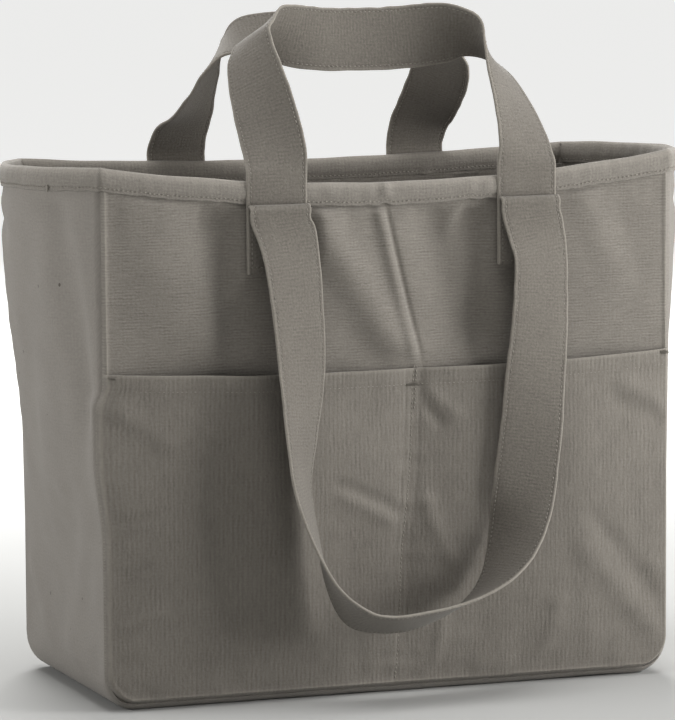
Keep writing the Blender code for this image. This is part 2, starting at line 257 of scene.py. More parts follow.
    def _flecked(
        self, tree: bpy.types.NodeTree, in_mm: bpy.types.NodeSocket, cloth: bpy.types.NodeSocket
    ) -> bpy.types.NodeSocket:
        """Scatter short dark flecks over the cloth's colour."""
        stretched = add_node(tree, "ShaderNodeMapping", {"Scale": (1.0, 0.62, 1.0)}, {"Vector": in_mm})
        cells = add_node(
            tree, "ShaderNodeTexVoronoi", {"Scale": 1 / 11}, {"Vector": stretched.outputs["Vector"]}
        )
        spot = add_node(
            tree, "ShaderNodeMath", {1: 0.07}, {0: cells.outputs["Distance"]}, operation="LESS_THAN"
        )
        red = add_node(tree, "ShaderNodeSeparateColor", {}, {0: cells.outputs["Color"]}).outputs[0]
        chosen = add_node(tree, "ShaderNodeMath", {1: self.fleck_share}, {0: red}, operation="LESS_THAN")
        both = add_node(
            tree, "ShaderNodeMath", {}, {0: spot.outputs[0], 1: chosen.outputs[0]}, operation="MULTIPLY"
        )
        strength = add_node(tree, "ShaderNodeMath", {1: 0.85}, {0: both.outputs[0]}, operation="MULTIPLY")
        husk = {7: linear("#47423b")}
        under = {0: strength.outputs[0], 6: cloth}
        return add_node(tree, "ShaderNodeMix", husk, under, data_type="RGBA").outputs[2]


@dataclass(frozen=True)
class ThreadFinish:
    """Spun cotton sewing thread: a little lighter than the cloth, with a faint gloss."""

    name: str
    colour: str
    dark: str

    def build(self) -> bpy.types.Material:
        """Make the material."""
        material = bpy.data.materials.new(self.name)
        material.use_nodes = True
        tree = material.node_tree
        shader = tree.nodes["Principled BSDF"]
        shader.inputs["Roughness"].default_value = 0.7
        shader.inputs["Specular IOR Level"].default_value = 0.3
        place = add_node(tree, "ShaderNodeTexCoord").outputs["Object"]
        noise = add_node(tree, "ShaderNodeTexNoise", {"Scale": 260.0, "Detail": 2.0}, {"Vector": place})
        tones = {6: linear(self.dark), 7: linear(self.colour)}
        colour = add_node(tree, "ShaderNodeMix", tones, {0: noise.outputs["Fac"]}, data_type="RGBA")
        tree.links.new(colour.outputs[2], shader.inputs["Base Color"])
        return material


# Rules that shape cloth


def smoothstep(t: np.ndarray | float) -> np.ndarray | float:
    """Ease from 0 to 1 as t goes from 0 to 1."""
    t = np.clip(t, 0.0, 1.0)
    return t * t * (3 - 2 * t)


def bell(distance: np.ndarray, width: float) -> np.ndarray:
    """A smooth bump of height 1 at distance 0."""
    return np.exp(-((distance / width) ** 2))


def wobble(a: np.ndarray, b: np.ndarray, wavelength: float, seed: int) -> np.ndarray:
    """Smooth unevenness of about -1 to 1 over two coordinates.

    Args:
        a: First coordinate in metres.
        b: Second coordinate in metres.
        wavelength: Typical distance from crest to crest.
        seed: Which unevenness.

    Returns:
        The unevenness at each point.
    """
    draw = np.random.default_rng(seed)
    total = np.zeros(np.broadcast(a, b).shape)
    for _ in range(7):
        heading = draw.uniform(0, math.tau)
        length = wavelength * draw.uniform(0.7, 1.6)
        phase = draw.uniform(0, math.tau)
        total += np.sin(math.tau * (a * math.cos(heading) + b * math.sin(heading)) / length + phase)
    return total / 4


@dataclass(frozen=True)
class Fold:
    """A soft ridge, or a valley where its height is below 0, along a line on a cloth's face."""

    start: tuple[float, float]
    end: tuple[float, float]
    width: float
    height: float
    fade: float = 0.015

    def relief(self, across: np.ndarray, up: np.ndarray) -> np.ndarray:
        """How far the fold lifts each point."""
        (x0, z0), (x1, z1) = self.start, self.end
        length = math.hypot(x1 - x0, z1 - z0)
        dx, dz = (x1 - x0) / length, (z1 - z0) / length
        along = (across - x0) * dx + (up - z0) * dz
        aside = (across - x0) * dz - (up - z0) * dx
        ends = smoothstep(along / self.fade + 1) * smoothstep((length - along) / self.fade + 1)
        return self.height * bell(aside, self.width) * ends


def folded(folds: tuple[Fold, ...], across: np.ndarray, up: np.ndarray) -> np.ndarray:
    """The relief of several folds together."""
    return sum((fold.relief(across, up) for fold in folds), np.zeros(np.broadcast(across, up).shape))


@dataclass(frozen=True)
class BagForm:
    """The sizes that the body pieces share, and the rules for where its edges run."""

    half_width: float
    half_depth: float
    front_height: float
    back_height: float
    front_sag: float = 0.0145
    back_sag: float = 0.006
    corner: float = 0.022  # radius of the lower corners
    gusset_bow: float = 0.031
    bow_start: float = 0.05
    bow_full: float = 0.92
    canvas: float = 0.0012
    foot: float = 0.0042  # the seams round the base stand this far off the ground
    binding: float = 0.013

    def front_rim(self, x: np.ndarray) -> np.ndarray:
        """Height of the front rim."""
        return self.front_height - self.front_sag * (1 - (x / self.half_width) ** 2)

    def back_rim(self, x: np.ndarray) -> np.ndarray:
        """Height of the back rim."""
        return self.back_height - self.back_sag * (1 - (x / self.half_width) ** 2)

    def side_rim(self, y: np.ndarray) -> np.ndarray:
        """Height of a side's rim."""
        share = y / (2 * self.half_depth) + 0.5
        return self.front_height + (self.back_height - self.front_height) * share

    def half_at(self, z: np.ndarray) -> np.ndarray:
        """Half the width of a panel at a height."""
        drop = np.clip(self.corner - z, 0.0, self.corner)
        return self.half_width - self.corner + np.sqrt(np.maximum(self.corner**2 - drop**2, 0.0))

    def edge_distance(self, x: np.ndarray, z: np.ndarray) -> np.ndarray:
        """How far a point of a panel is from the seam round its sides and base."""
        inner_x = np.abs(x) - (self.half_width - self.corner)
        in_corner = (inner_x > 0) & (z < self.corner)
        round_part = self.corner - np.hypot(np.maximum(inner_x, 0), np.maximum(self.corner - z, 0))
        return np.where(in_corner, round_part, np.minimum(self.half_width - np.abs(x), z))

    def lifted(self, z: np.ndarray) -> np.ndarray:
        """Raise the lowest part of a panel so that its base seam stands off the ground."""
        return z + self.foot * (1 - smoothstep(z / 0.045))

    def corner_push(self, z: np.ndarray) -> np.ndarray:
        """How far the pocket's gathered edge pushes the front left corner out."""
        return 0.0045 * smoothstep((0.204 - z) / 0.014) * smoothstep((z - 0.105) / 0.055)

    def bow(self, share: np.ndarray, y: np.ndarray) -> np.ndarray:
        """How far a gusset stands out, below 0 where it is drawn in."""
        middle = 1 - (y / self.half_depth) ** 2
        rise = smoothstep((share - self.bow_start) / (self.bow_full - self.bow_start))
        drawn_in = np.sin(math.pi * np.clip(share / 0.40, 0, 1)) ** 2
        return (self.gusset_bow * rise - 0.0022 * drawn_in) * middle


def seam_relief(distance: np.ndarray) -> np.ndarray:
    """A turned seam across its line: the cloth dips into the seam beside a pressed ridge."""
    dip = -0.0034 * np.clip(1 - distance / 0.0018, 0, 1) ** 1.3
    return dip + 0.0008 * bell(distance - 0.0025, 0.0010)


# Meshes


def make_object(
    name: str,
    points: np.ndarray,
    faces: list,
    material: bpy.types.Material,
    own: np.ndarray | None = None,
    edge: np.ndarray | None = None,
    sharp: float = 50.0,
) -> bpy.types.Object:
    """Make a smooth mesh object that sits at the origin.

    Args:
        name: The object's name.
        points: Vertices, one row each.
        faces: Vertex numbers of each face.
        material: Its material.
        own: The cloth's own coordinates of each vertex, in metres.
        edge: How much painted highlight each vertex takes, from 0 to 1.
        sharp: Edges that bend by more degrees than this stay sharp.

    Returns:
        The object, with its faces pointing outwards.
    """
    mesh = bpy.data.meshes.new(name)
    mesh.from_pydata(points.reshape(-1, 3).tolist(), [], faces)
    mesh.update()
    corners = np.zeros(len(mesh.loops), np.int32)
    mesh.loops.foreach_get("vertex_index", corners)
    if own is not None:
        layer = mesh.uv_layers.new(name="cloth")
        layer.data.foreach_set("uv", own.reshape(-1, 2)[corners].astype(np.float32).ravel())
    if edge is not None:
        attribute = mesh.attributes.new("edge", "FLOAT", "POINT")
        attribute.data.foreach_set("value", edge.astype(np.float32).ravel())
    if signed_volume(mesh) < 0:
        mesh.flip_normals()
    mesh.shade_smooth()
    mesh.set_sharp_from_angle(angle=math.radians(sharp))
    mesh.materials.append(material)
    piece = bpy.data.objects.new(name, mesh)
    bpy.context.scene.collection.objects.link(piece)
    return piece


def signed_volume(mesh: bpy.types.Mesh) -> float:
    """The volume inside a closed mesh, below 0 where its faces point inwards."""
    points = np.zeros(len(mesh.vertices) * 3)
    mesh.vertices.foreach_get("co", points)
    points = points.reshape(-1, 3)
    mesh.calc_loop_triangles()
    corners = np.zeros(len(mesh.loop_triangles) * 3, np.int32)
    mesh.loop_triangles.foreach_get("vertices", corners)
    a, b, c = (points[corners[i::3]] for i in range(3))
    return float((a * np.cross(b, c)).sum() / 6)


def unit(vectors: np.ndarray) -> np.ndarray:
    """Vectors of length 1 in the same directions."""
    return vectors / np.maximum(np.linalg.norm(vectors, axis=-1, keepdims=True), 1e-12)


def grid_faces(rows: int, columns: int, first: int = 0, wrap: bool = False) -> np.ndarray:
    """Quads of a grid of points, row by row. wrap joins the last column to the first."""
    i, j = np.meshgrid(np.arange(rows - 1), np.arange(columns if wrap else columns - 1), indexing="ij")
    k = (j + 1) % columns
    quads = np.stack([i * columns + j, i * columns + k, (i + 1) * columns + k, (i + 1) * columns + j], -1)
    return quads.reshape(-1, 4) + first


def cloth_shell(
    name: str,
    outer: np.ndarray,
    thickness: float | np.ndarray,
    material: bpy.types.Material,
    own: np.ndarray,
    edge: np.ndarray | None = None,
) -> bpy.types.Object:
    """Make a closed cloth from the grid of points of its outer face.

    Args:
        name: The object's name.
        outer: Points, rows by columns by 3. Columns crossed with rows points out of the cloth.
        thickness: Of the cloth, everywhere or at each point.
        material: Its material.
        own: The cloth's own coordinates, rows by columns by 2.
        edge: How much painted highlight each point takes.

    Returns:
        The object.
    """
    rows, columns = outer.shape[:2]
    normal = unit(np.cross(np.gradient(outer, axis=1), np.gradient(outer, axis=0)))
    depth = np.broadcast_to(np.asarray(thickness), (rows, columns))[..., None]
    inner = outer - normal * depth
    count = rows * columns
    front = grid_faces(rows, columns)
    back = grid_faces(rows, columns, count)[:, ::-1]
    around = np.concatenate(
        [
            np.arange(columns),
            np.arange(1, rows) * columns + columns - 1,
            (rows - 1) * columns + np.arange(columns - 2, -1, -1),
            np.arange(rows - 2, 0, -1) * columns,
        ]
    )
    after = np.roll(around, -1)
    wall = np.stack([around, around + count, after + count, after], -1)
    faces = np.concatenate([front, back, wall]).tolist()
    points = np.concatenate([outer.reshape(-1, 3), inner.reshape(-1, 3)])
    places = np.concatenate([own.reshape(-1, 2)] * 2)
    if edge is None:
        edge = np.zeros((rows, columns))
    return make_object(name, points, faces, material, places, np.concatenate([edge.ravel()] * 2))


def crowded(count: int, ends: float = 0.75) -> np.ndarray:
    """Numbers from -1 to 1 that stand closer together towards both ends."""
    t = np.linspace(-1, 1, count)
    return (1 - ends) * t + ends * np.sin(t * math.pi / 2)


def crowded_halves(count: int) -> np.ndarray:
    """Numbers from -1 to 1 that stand closer together at both ends and in the middle."""
    half = (crowded(count // 2 + 1, 0.7) + 1) / 2
    return np.concatenate([-half[::-1], half[1:]])


def panel_rows(form: BagForm, arc_rows: int, straight_rows: int) -> tuple[np.ndarray, np.ndarray]:
    """Heights of a panel's rows.

    Args:
        form: The bag's sizes.
        arc_rows: Rows within the lower corners.
        straight_rows: Rows above them.

    Returns:
        The height of each row in the corners, then the share of the way from there to the rim.
    """
    arc = form.corner * (1 - np.cos(np.linspace(0, math.pi / 2, arc_rows + 1)))
    share = np.linspace(0, 1, straight_rows + 1)[1:]
    heights = np.concatenate([arc, np.full(straight_rows, form.corner)])
    return heights, np.concatenate([np.zeros(arc_rows + 1), share])


# Stitches, made with Geometry Nodes


def new_tree(
    name: str, inputs: dict[str, tuple[str, object]]
) -> tuple[bpy.types.NodeTree, bpy.types.NodeOutputs, bpy.types.Node]:
    """Start a geometry tree.

    Args:
        name: The tree's name.
        inputs: Name of each input to its socket type and first value.

    Returns:
        The tree, its input node's outputs by name, and its output node.
    """
    tree = bpy.data.node_groups.new(name, "GeometryNodeTree")
    tree.interface.new_socket("Geometry", in_out="INPUT", socket_type="NodeSocketGeometry")
    for label, (kind, value) in inputs.items():
        socket = tree.interface.new_socket(label, in_out="INPUT", socket_type=kind)
        if value is not None:
            socket.default_value = value
    tree.interface.new_socket("Geometry", in_out="OUTPUT", socket_type="NodeSocketGeometry")
    group_in = add_node(tree, "NodeGroupInput")
    return tree, group_in.outputs, add_node(tree, "NodeGroupOutput")


def finish_tree(
    tree: bpy.types.NodeTree,
    shape: bpy.types.NodeSocket,
    thread: bpy.types.NodeSocket,
    out: bpy.types.Node,
) -> bpy.types.NodeTree:
    """Shade a tree's shape smooth, give it its thread and lead it to the tree's output."""
    real = add_node(tree, "GeometryNodeRealizeInstances", {}, {"Geometry": shape})
    smooth = add_node(tree, "GeometryNodeSetShadeSmooth", {}, {"Geometry": real.outputs["Geometry"]})
    dress = {"Geometry": smooth.outputs["Geometry"], "Material": thread}
    dressed = add_node(tree, "GeometryNodeSetMaterial", {}, dress)
    tree.links.new(dressed.outputs["Geometry"], out.inputs["Geometry"])
    return tree


def stitch_tree() -> bpy.types.NodeTree:
    """A tree that lays stitches of a given size end to end along every line of its mesh."""
    tree, given, out = new_tree(
        "stitch_rows",
        {
            "Pitch": ("NodeSocketFloat", 0.0029),
            "Length": ("NodeSocketFloat", 0.0022),
            "Width": ("NodeSocketFloat", 0.00085),
            "Seed": ("NodeSocketInt", 1),
            "Thread": ("NodeSocketMaterial", None),
        },
    )
    curve = add_node(tree, "GeometryNodeMeshToCurve", {}, {"Mesh": given["Geometry"]})
    spacing = {"Curve": curve.outputs["Curve"], "Length": given["Pitch"]}
    even = add_node(tree, "GeometryNodeResampleCurve", {}, spacing, mode="LENGTH")
    tangent = add_node(tree, "GeometryNodeInputTangent")
    heading = add_node(
        tree, "FunctionNodeAlignRotationToVector", {}, {"Vector": tangent.outputs["Tangent"]}, axis="X"
    )
    size = add_node(
        tree, "ShaderNodeCombineXYZ", {}, {"X": given["Length"], "Y": given["Width"], "Z": given["Width"]}
    )
    vary = add_node(
        tree, "FunctionNodeRandomValue", {2: 0.82, 3: 1.12}, {"Seed": given["Seed"]}, data_type="FLOAT"
    )
    scaling = {0: size.outputs[0], "Scale": vary.outputs[1]}
    sized = add_node(tree, "ShaderNodeVectorMath", {}, scaling, operation="SCALE")
    ball = add_node(tree, "GeometryNodeMeshIcoSphere", {"Radius": 0.5, "Subdivisions": 1})
    placed = add_node(
        tree,
        "GeometryNodeInstanceOnPoints",
        {},
        {
            "Points": even.outputs["Curve"],
            "Instance": ball.outputs["Mesh"],
            "Rotation": heading.outputs["Rotation"],
            "Scale": sized.outputs[0],
        },
    )
    return finish_tree(tree, placed.outputs["Instances"], given["Thread"], out)


def thread_tree() -> bpy.types.NodeTree:
    """A tree that makes a round thread along every line of its mesh."""
    tree, given, out = new_tree(
        "laid_thread",
        {"Radius": ("NodeSocketFloat", 0.0003), "Thread": ("NodeSocketMaterial", None)},
    )
    curve = add_node(tree, "GeometryNodeMeshToCurve", {}, {"Mesh": given["Geometry"]})
    ring = add_node(
        tree, "GeometryNodeCurvePrimitiveCircle", {"Resolution": 6}, {"Radius": given["Radius"]}
    )
    tube = add_node(
        tree,
        "GeometryNodeCurveToMesh",
        {"Fill Caps": True},
        {"Curve": curve.outputs["Curve"], "Profile Curve": ring.outputs["Curve"]},
    )
    return finish_tree(tree, tube.outputs["Mesh"], given["Thread"], out)


def grown(
    name: str, lines: list[np.ndarray], tree: bpy.types.NodeTree, given: dict[str, object]
) -> bpy.types.Object:
    """Run a geometry tree on some lines and keep the result as a plain mesh.

    Args:
        name: The new object's name.
        lines: Points of each line.
        tree: The geometry tree.
        given: Name of each of the tree's inputs to its value.

    Returns:
        The new object, at the origin.
    """
    points, edges = [], []
    for line in lines:
        first = len(points)
        points.extend(np.asarray(line).tolist())
        edges.extend((first + i, first + i + 1) for i in range(len(line) - 1))
    mesh = bpy.data.meshes.new(name + "_lines")
    mesh.from_pydata(points, edges, [])
    carrier = bpy.data.objects.new(name + "_lines", mesh)
    bpy.context.scene.collection.objects.link(carrier)
    modifier = carrier.modifiers.new("grow", "NODES")
    modifier.node_group = tree
    for item in tree.interface.items_tree:
        if item.item_type == "SOCKET" and item.in_out == "INPUT" and item.name in given:
            modifier[item.identifier] = given[item.name]
    carrier.update_tag()
    graph = bpy.context.evaluated_depsgraph_get()
    made = bpy.data.meshes.new_from_object(carrier.evaluated_get(graph))
    bpy.data.objects.remove(carrier, do_unlink=True)
    piece = bpy.data.objects.new(name, made)
    made.name = name
    bpy.context.scene.collection.objects.link(piece)
    return piece


@dataclass
class SewingBox:
    """The threads and the two ways of laying them."""

    thread: bpy.types.Material
    rows_tree: bpy.types.NodeTree
    thread_tree: bpy.types.NodeTree

    def stitches(self, name: str, lines: list[np.ndarray], seed: int) -> bpy.types.Object:
        """Rows of lockstitch along some lines."""
        return grown(name, lines, self.rows_tree, {"Thread": self.thread, "Seed": seed})

    def bartack(
        self, name: str, centre: tuple[float, float, float], length: float, height: float
    ) -> bpy.types.Object:
        """A bar of dense zigzag stitching that lies level on the front.

        Args:
            name: The object's name.
            centre: Its middle.
            length: Its size from left to right.
            height: Its size from top to bottom.

        Returns:
            The bartack.
        """
        x, y, z = centre
        pitch = 0.00042
        along = np.arange(-length / 2, length / 2, pitch / 2)
        sway = np.where(np.arange(len(along)) % 2 == 0, -0.5, 0.5) * height
        crown = 0.0003 * (1 - (2 * along / length) ** 2)
        zigzag = np.stack([x + along, y - crown, z + sway], -1)
        return grown(name, [zigzag], self.thread_tree, {"Thread": self.thread, "Radius": 0.00026})


# The body


@dataclass
class BodyPanel:
    """The front or the back panel: flat canvas that hangs from its rim and creases round its straps."""

    form: BagForm
    face: Face
    name: str
    node: str
    folds: tuple[Fold, ...]
    patches: tuple[float, float]  # where straps are sewn on: the middle of each in X
    crease: float  # how strongly the rim's pinch creases the cloth below it
    columns: int = 190
    arc_rows: int = 12
    straight_rows: int = 110

    def rim(self, x: np.ndarray) -> np.ndarray:
        """Height of this panel's rim."""
        return self.form.front_rim(x) if self.face is Face.FRONT else self.form.back_rim(x)

    def crease_x(self, z: np.ndarray) -> np.ndarray:
        """Where the crease above the divider runs. The columns of the mesh lean with it."""
        return self.crease * (0.0185 - 0.237 * (z - 0.213)) * smoothstep(z / 0.15)

    def relief(self, x: np.ndarray, z: np.ndarray) -> np.ndarray:
        """How far the cloth stands out of the panel's plane."""
        drop = self.rim(x) - z
        aside = x - self.crease_x(z)
        crease = 0.0024 * bell(aside + 0.0044, 0.0042) - 0.0018 * bell(aside - 0.0010, 0.0022)
        free = smoothstep((drop - 0.0125) / 0.006)
        for middle in self.patches:
            beside = smoothstep((np.abs(x - middle) - 0.020) / 0.012)
            below = smoothstep((0.268 - z) / 0.02)
            free = free * np.maximum(beside, below)
        soft = folded(self.folds, x, z) + self.crease * crease
        if self.face is Face.FRONT:
            behind_pocket = smoothstep((z - 0.2060) / 0.018)
            soft = np.where(soft > 0, soft * behind_pocket, soft)
        soft = soft + 0.0007 * wobble(x, z, 0.075, 3) + 0.00025 * wobble(x, z, 0.022, 4)
        tucked = 0.0006 * bell(drop - 0.0175, 0.0030) - 0.0011 * bell(drop - 0.0136, 0.0013)
        puckers = 0.0005 * wobble(x, z * 0.12, 0.009, 5) * np.exp(-np.maximum(drop - 0.013, 0) / 0.010)
        return ((soft + puckers) * free + tucked) * smoothstep(self.form.edge_distance(x, z) / 0.02)

    def build(self, material: bpy.types.Material) -> None:
        """Make the panel."""
        form = self.form
        side = self.face.value
        across = crowded_halves(self.columns)[None, :]
        low, share = (a[:, None] for a in panel_rows(form, self.arc_rows, self.straight_rows))
        lean = self.crease_x(low + share * (self.rim(0.0) - form.corner)) * (1 - across**2)
        x = across * form.half_at(low) + lean
        z = low + share * (self.rim(x) - form.corner)
        distance = form.edge_distance(x, z)
        out = self.relief(x, z) + seam_relief(distance)
        if self.face is Face.FRONT:
            x = x - form.corner_push(z) * bell(x + form.half_width, 0.012)
        y = side * (form.half_depth + out)
        outer = np.stack([-side * x, y, np.broadcast_to(form.lifted(z), x.shape)], -1)
        own = np.stack([x, z], -1)
        # Painted highlight along the pressed ridge beside the seam.
        edge = 0.35 * bell(distance - 0.0026, 0.0008)
        piece = cloth_shell(self.name, outer, form.canvas, material, own, edge)
        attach(piece, "bag")
        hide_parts(self.node)


@dataclass
class GussetStrip:
    """One strip of canvas that makes the left side, the base and the right side."""

    form: BagForm
    side_folds: tuple[Fold, ...]
    side_rows: int = 90
    arc_rows: int = 12
    base_rows: int = 60
    columns: int = 56

    def build(self, material: bpy.types.Material) -> None:
        """Make the strip, from the right rim under the bag to the left rim."""
        form = self.form
        reach = form.half_depth - form.canvas - 0.0003
        y = (crowded(self.columns + 1, 0.85) * reach)[:, None]
        share = np.linspace(1, 0, self.side_rows + 1)[None, :]
        rim = form.side_rim(y)
        side_z = form.corner + share * (rim - form.corner)
        flat = np.clip((np.abs(y) - (reach - 0.0065)) / 0.0065, 0, 1)
        side_in = -0.0030 * np.clip((np.abs(y) - (reach - 0.0026)) / 0.0026, 0, 1) ** 1.5
        base_in = form.foot * flat**2

        def side(sign: int) -> np.ndarray:
            """The outer face of the right side, or of the left where sign is below 0."""
            relief = folded(self.side_folds, sign * y, side_z)
            relief = relief + 0.0010 * wobble(y, side_z, 0.085, 11 + sign)
            relief = relief + 0.0003 * wobble(y, side_z, 0.024, 21 + sign)
            calm = smoothstep((reach - np.abs(y)) / 0.02) * smoothstep((rim - side_z - 0.013) / 0.01)
            out = form.bow(share, y) + relief * calm + side_in
            if sign < 0:
                out = out + form.corner_push(side_z) * bell(y + reach, 0.014)
            x = sign * (form.half_width + out)
            return np.stack(np.broadcast_arrays(x, y, form.lifted(side_z) * 1.0), -1)

        turn = np.linspace(0, math.pi / 2, self.arc_rows + 1)[None, 1:]
        half_base = form.half_width - form.corner
        radius = form.corner - base_in * (turn / (math.pi / 2))
        low = form.corner - radius * np.sin(turn)
        swell = 0.0015 * np.sin(turn) * (1 - flat)
        arc_x = half_base + (radius + side_in * (1 - turn)) * np.cos(turn) + swell * np.cos(turn)
        arc = np.stack(np.broadcast_arrays(arc_x, y, low), -1)
        base_x = np.linspace(half_base, -half_base, self.base_rows + 1)[None, 1:-1]
        rest = 0.0004 + 0.0004 * wobble(base_x, y, 0.06, 31)
        base = np.stack(np.broadcast_arrays(base_x, y, base_in + rest * (1 - flat)), -1)
        mirror = np.array([-1.0, 1.0, 1.0])
        left_arc = (arc * mirror)[:, ::-1]
        left = side(-1)[:, ::-1]
        outer = np.concatenate([side(1), arc, base, left_arc, left], axis=1)
        step = np.linalg.norm(np.diff(outer, axis=1), axis=-1)
        run = np.concatenate([np.zeros((len(y), 1)), np.cumsum(step, axis=1)], axis=1)
        own = np.stack(np.broadcast_arrays(y, -run), -1)
        piece = cloth_shell("gusset_cloth", outer, form.canvas, material, own)
        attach(piece, "bag")
        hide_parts("gusset_strip")


@dataclass
class SeamAllowances:
    """The cut edges of the panel and gusset, turned into the bag along both panel seams."""

    form: BagForm
    width: float = 0.010
    thickness: float = 0.0022

    def build(self, material: bpy.types.Material) -> None:
        """Make the two seams, each a piece of its own."""
        form = self.form
        low, share = panel_rows(form, 10, 70)
        for face in Face:
            rim = form.front_rim if face is Face.FRONT else form.back_rim
            top = rim(np.array(form.half_width)) - form.binding
            z = low + share * (top - form.corner)
            x = form.half_at(low)
            right = np.stack([x, z], -1)[::-1]
            base = np.stack([np.linspace(x[0], -x[0], 50)[1:-1], np.zeros(48)], -1)
            line = np.concatenate([right, base, right[::-1] * np.array([-1.0, 1.0])])
            tangent = unit(np.gradient(line, axis=0))
            inwards = np.stack([tangent[:, 1], -tangent[:, 0]], -1)
            middle = np.array([0.0, form.front_height / 2])
            inwards *= np.sign(((middle - line) * inwards).sum(-1, keepdims=True))
            start = form.canvas + 0.0012
            lift = (start + np.linspace(0, self.width, 6) * 0.75)[:, None]
            at = line[None] + inwards[None] * lift[..., None]
            sway = 0.0006 * wobble(line[:, 0], line[:, 1], 0.03, 41)[None] * (lift / self.width)
            y = face.value * (form.half_depth - start - 0.0006 - lift * 0.6) + sway
            grid = np.stack([at[..., 0], y, form.lifted(at[..., 1])], -1)
            own = np.stack([grid[..., 2] + grid[..., 0], grid[..., 1]], -1)
            name = f"seam_allowance_{face.name.lower()}"
            piece = cloth_shell(name, grid, self.thickness, material, own)
            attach(piece, "bag")


@dataclass
class RimBinding:
    """Cotton tape folded over the rim all the way round, sewn through both sides."""

    form: BagForm
    sewing: SewingBox
    step: float = 0.0016
    row_lift: float = 0.0024  # the stitches, above the tape's lower edge

    def rim_line(self) -> np.ndarray:
        """The outer edge of the rim, counter-clockwise from above, at even steps."""
        form = self.form
        x = np.linspace(-form.half_width, form.half_width, 200)
        reach = form.half_depth - form.canvas - 0.0003
        y = np.linspace(-reach, reach, 120)[1:-1]
        front = np.stack([x, np.full_like(x, -form.half_depth), form.front_rim(x)], -1)
        side_x = form.half_width + form.bow(np.ones_like(y), y)
        right = np.stack([side_x, y, form.side_rim(y)], -1)
        back = np.stack([x[::-1], np.full_like(x, form.half_depth), form.back_rim(x[::-1])], -1)
        left = right[::-1] * np.array([-1.0, 1.0, 1.0])
        loop = np.concatenate([front, right, back, left, front[:1]])
        run = np.concatenate([[0.0], np.cumsum(np.linalg.norm(np.diff(loop, axis=0), axis=1))])
        count = int(run[-1] / self.step)
        at = np.linspace(0, run[-1], count, endpoint=False)
        return np.stack([np.interp(at, run, loop[:, k]) for k in range(3)], -1)

    def build(self, material: bpy.types.Material) -> None:
        """Make the tape and its two rows of stitches."""
        form = self.form
        line = self.rim_line()
        count = len(line)
        run = np.arange(count) * self.step
        along = np.roll(line, -2, axis=0) - np.roll(line, 2, axis=0)
        normal = unit(np.stack([along[:, 1], -along[:, 0], np.zeros(count)], -1))
        foot_share = 1 - form.binding / (form.front_height - form.corner)
        at_side = np.abs(line[:, 0]) >= form.half_width
        drawn = form.bow(np.ones(count), line[:, 1]) - form.bow(np.full(count, foot_share), line[:, 1])
        lean = np.where(at_side, drawn / form.binding, 0.0)
        lap = smoothstep(1.5 - np.abs(line[:, 0] - 0.091) / 0.0035) * (line[:, 1] > 0)
        pinch = bell(line[:, 0] + 0.005, 0.0035) * (line[:, 1] < 0)
        uneven = wobble(run, run * 0, 0.034, 51)
        crumple = wobble(run, run * 0, 0.011, 52)
        low = -form.binding + 0.0004 * uneven + 0.0004 * crumple + 0.0012 * pinch
        top = 0.0014 + 0.0004 * wobble(run, run * 0, 0.05, 53)
        puff = 0.0005 + 0.0003 * crumple + 0.0010 * pinch
        groove = form.binding - self.row_lift
        # Each point of the tape's section: how far out, how far up, and its share of the puffiness
        outside = (
            (0.0004, 0.0, 0.0),
            (0.0011, 0.0002, 0.1),
            (0.0013, 0.0009, 0.2),
            (0.0012, self.row_lift, 0.0),
            (0.0020, 0.0042, 0.7),
            (0.0021, 0.0070, 1.0),
            (0.0019, 0.0098, 0.8),
            (0.0014, form.binding - 0.0004, 0.3),
        )
        section = []
        inner_face = -form.canvas
        for out, up, soft in outside:
            section.append((out + soft * puff + 0.0006 * lap, low + up))
        section.append((0.0002 + 0 * run, top))
        section.append((inner_face - 0.0002 + 0 * run, top))
        for out, up, soft in reversed(outside):
            section.append((inner_face - out - soft * puff - 0.0006 * lap, low + up))
        for out, up in (
            (inner_face - 0.0003, 0.0008),
            (inner_face - 0.0003, groove + 0.0018),
            (0.0003, groove + 0.0018),
            (0.0003, 0.0008),
        ):
            section.append((out + 0 * run, low + up))
        rows = len(section)
        points = np.zeros((rows, count, 3))
        for k, (out, up) in enumerate(section):
            points[k] = line + normal * (np.asarray(out) + lean * up)[:, None]
            points[k, :, 2] = line[:, 2] + up
        faces = grid_faces(rows, count, wrap=True)
        here = np.arange(count)
        ahead = (here + 1) % count
        last_row = (rows - 1) * count
        closing = np.stack([last_row + here, last_row + ahead, ahead, here], -1)
        around = np.concatenate([[0.0], np.cumsum(np.linalg.norm(np.diff(points[:, 0], axis=0), axis=1))])
        own = np.stack(np.broadcast_arrays(run[None, :], around[:, None]), -1)
        highlight_share = np.zeros((rows, count))
        # Painted highlight over the top of the tape, where it turns over the rim.
        highlight_share[len(outside) - 1 : len(outside) + 3] = 0.25
        all_faces = np.concatenate([faces, closing]).tolist()
        tape = make_object("rim_binding_tape", points, all_faces, material, own, highlight_share, sharp=62.0)
        rows_of_stitches = []
        for out in (0.00145, inner_face - 0.00145):
            row = line + normal * (out + lean * (low + self.row_lift))[:, None]
            row[:, 2] = line[:, 2] + low + self.row_lift
            rows_of_stitches.append(np.concatenate([row, row[:1]]))
        stitches = self.sewing.stitches("rim_binding_stitches", rows_of_stitches, 61)
        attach(tape, "bag")
        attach(stitches, "bag")
        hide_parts("rim_binding")


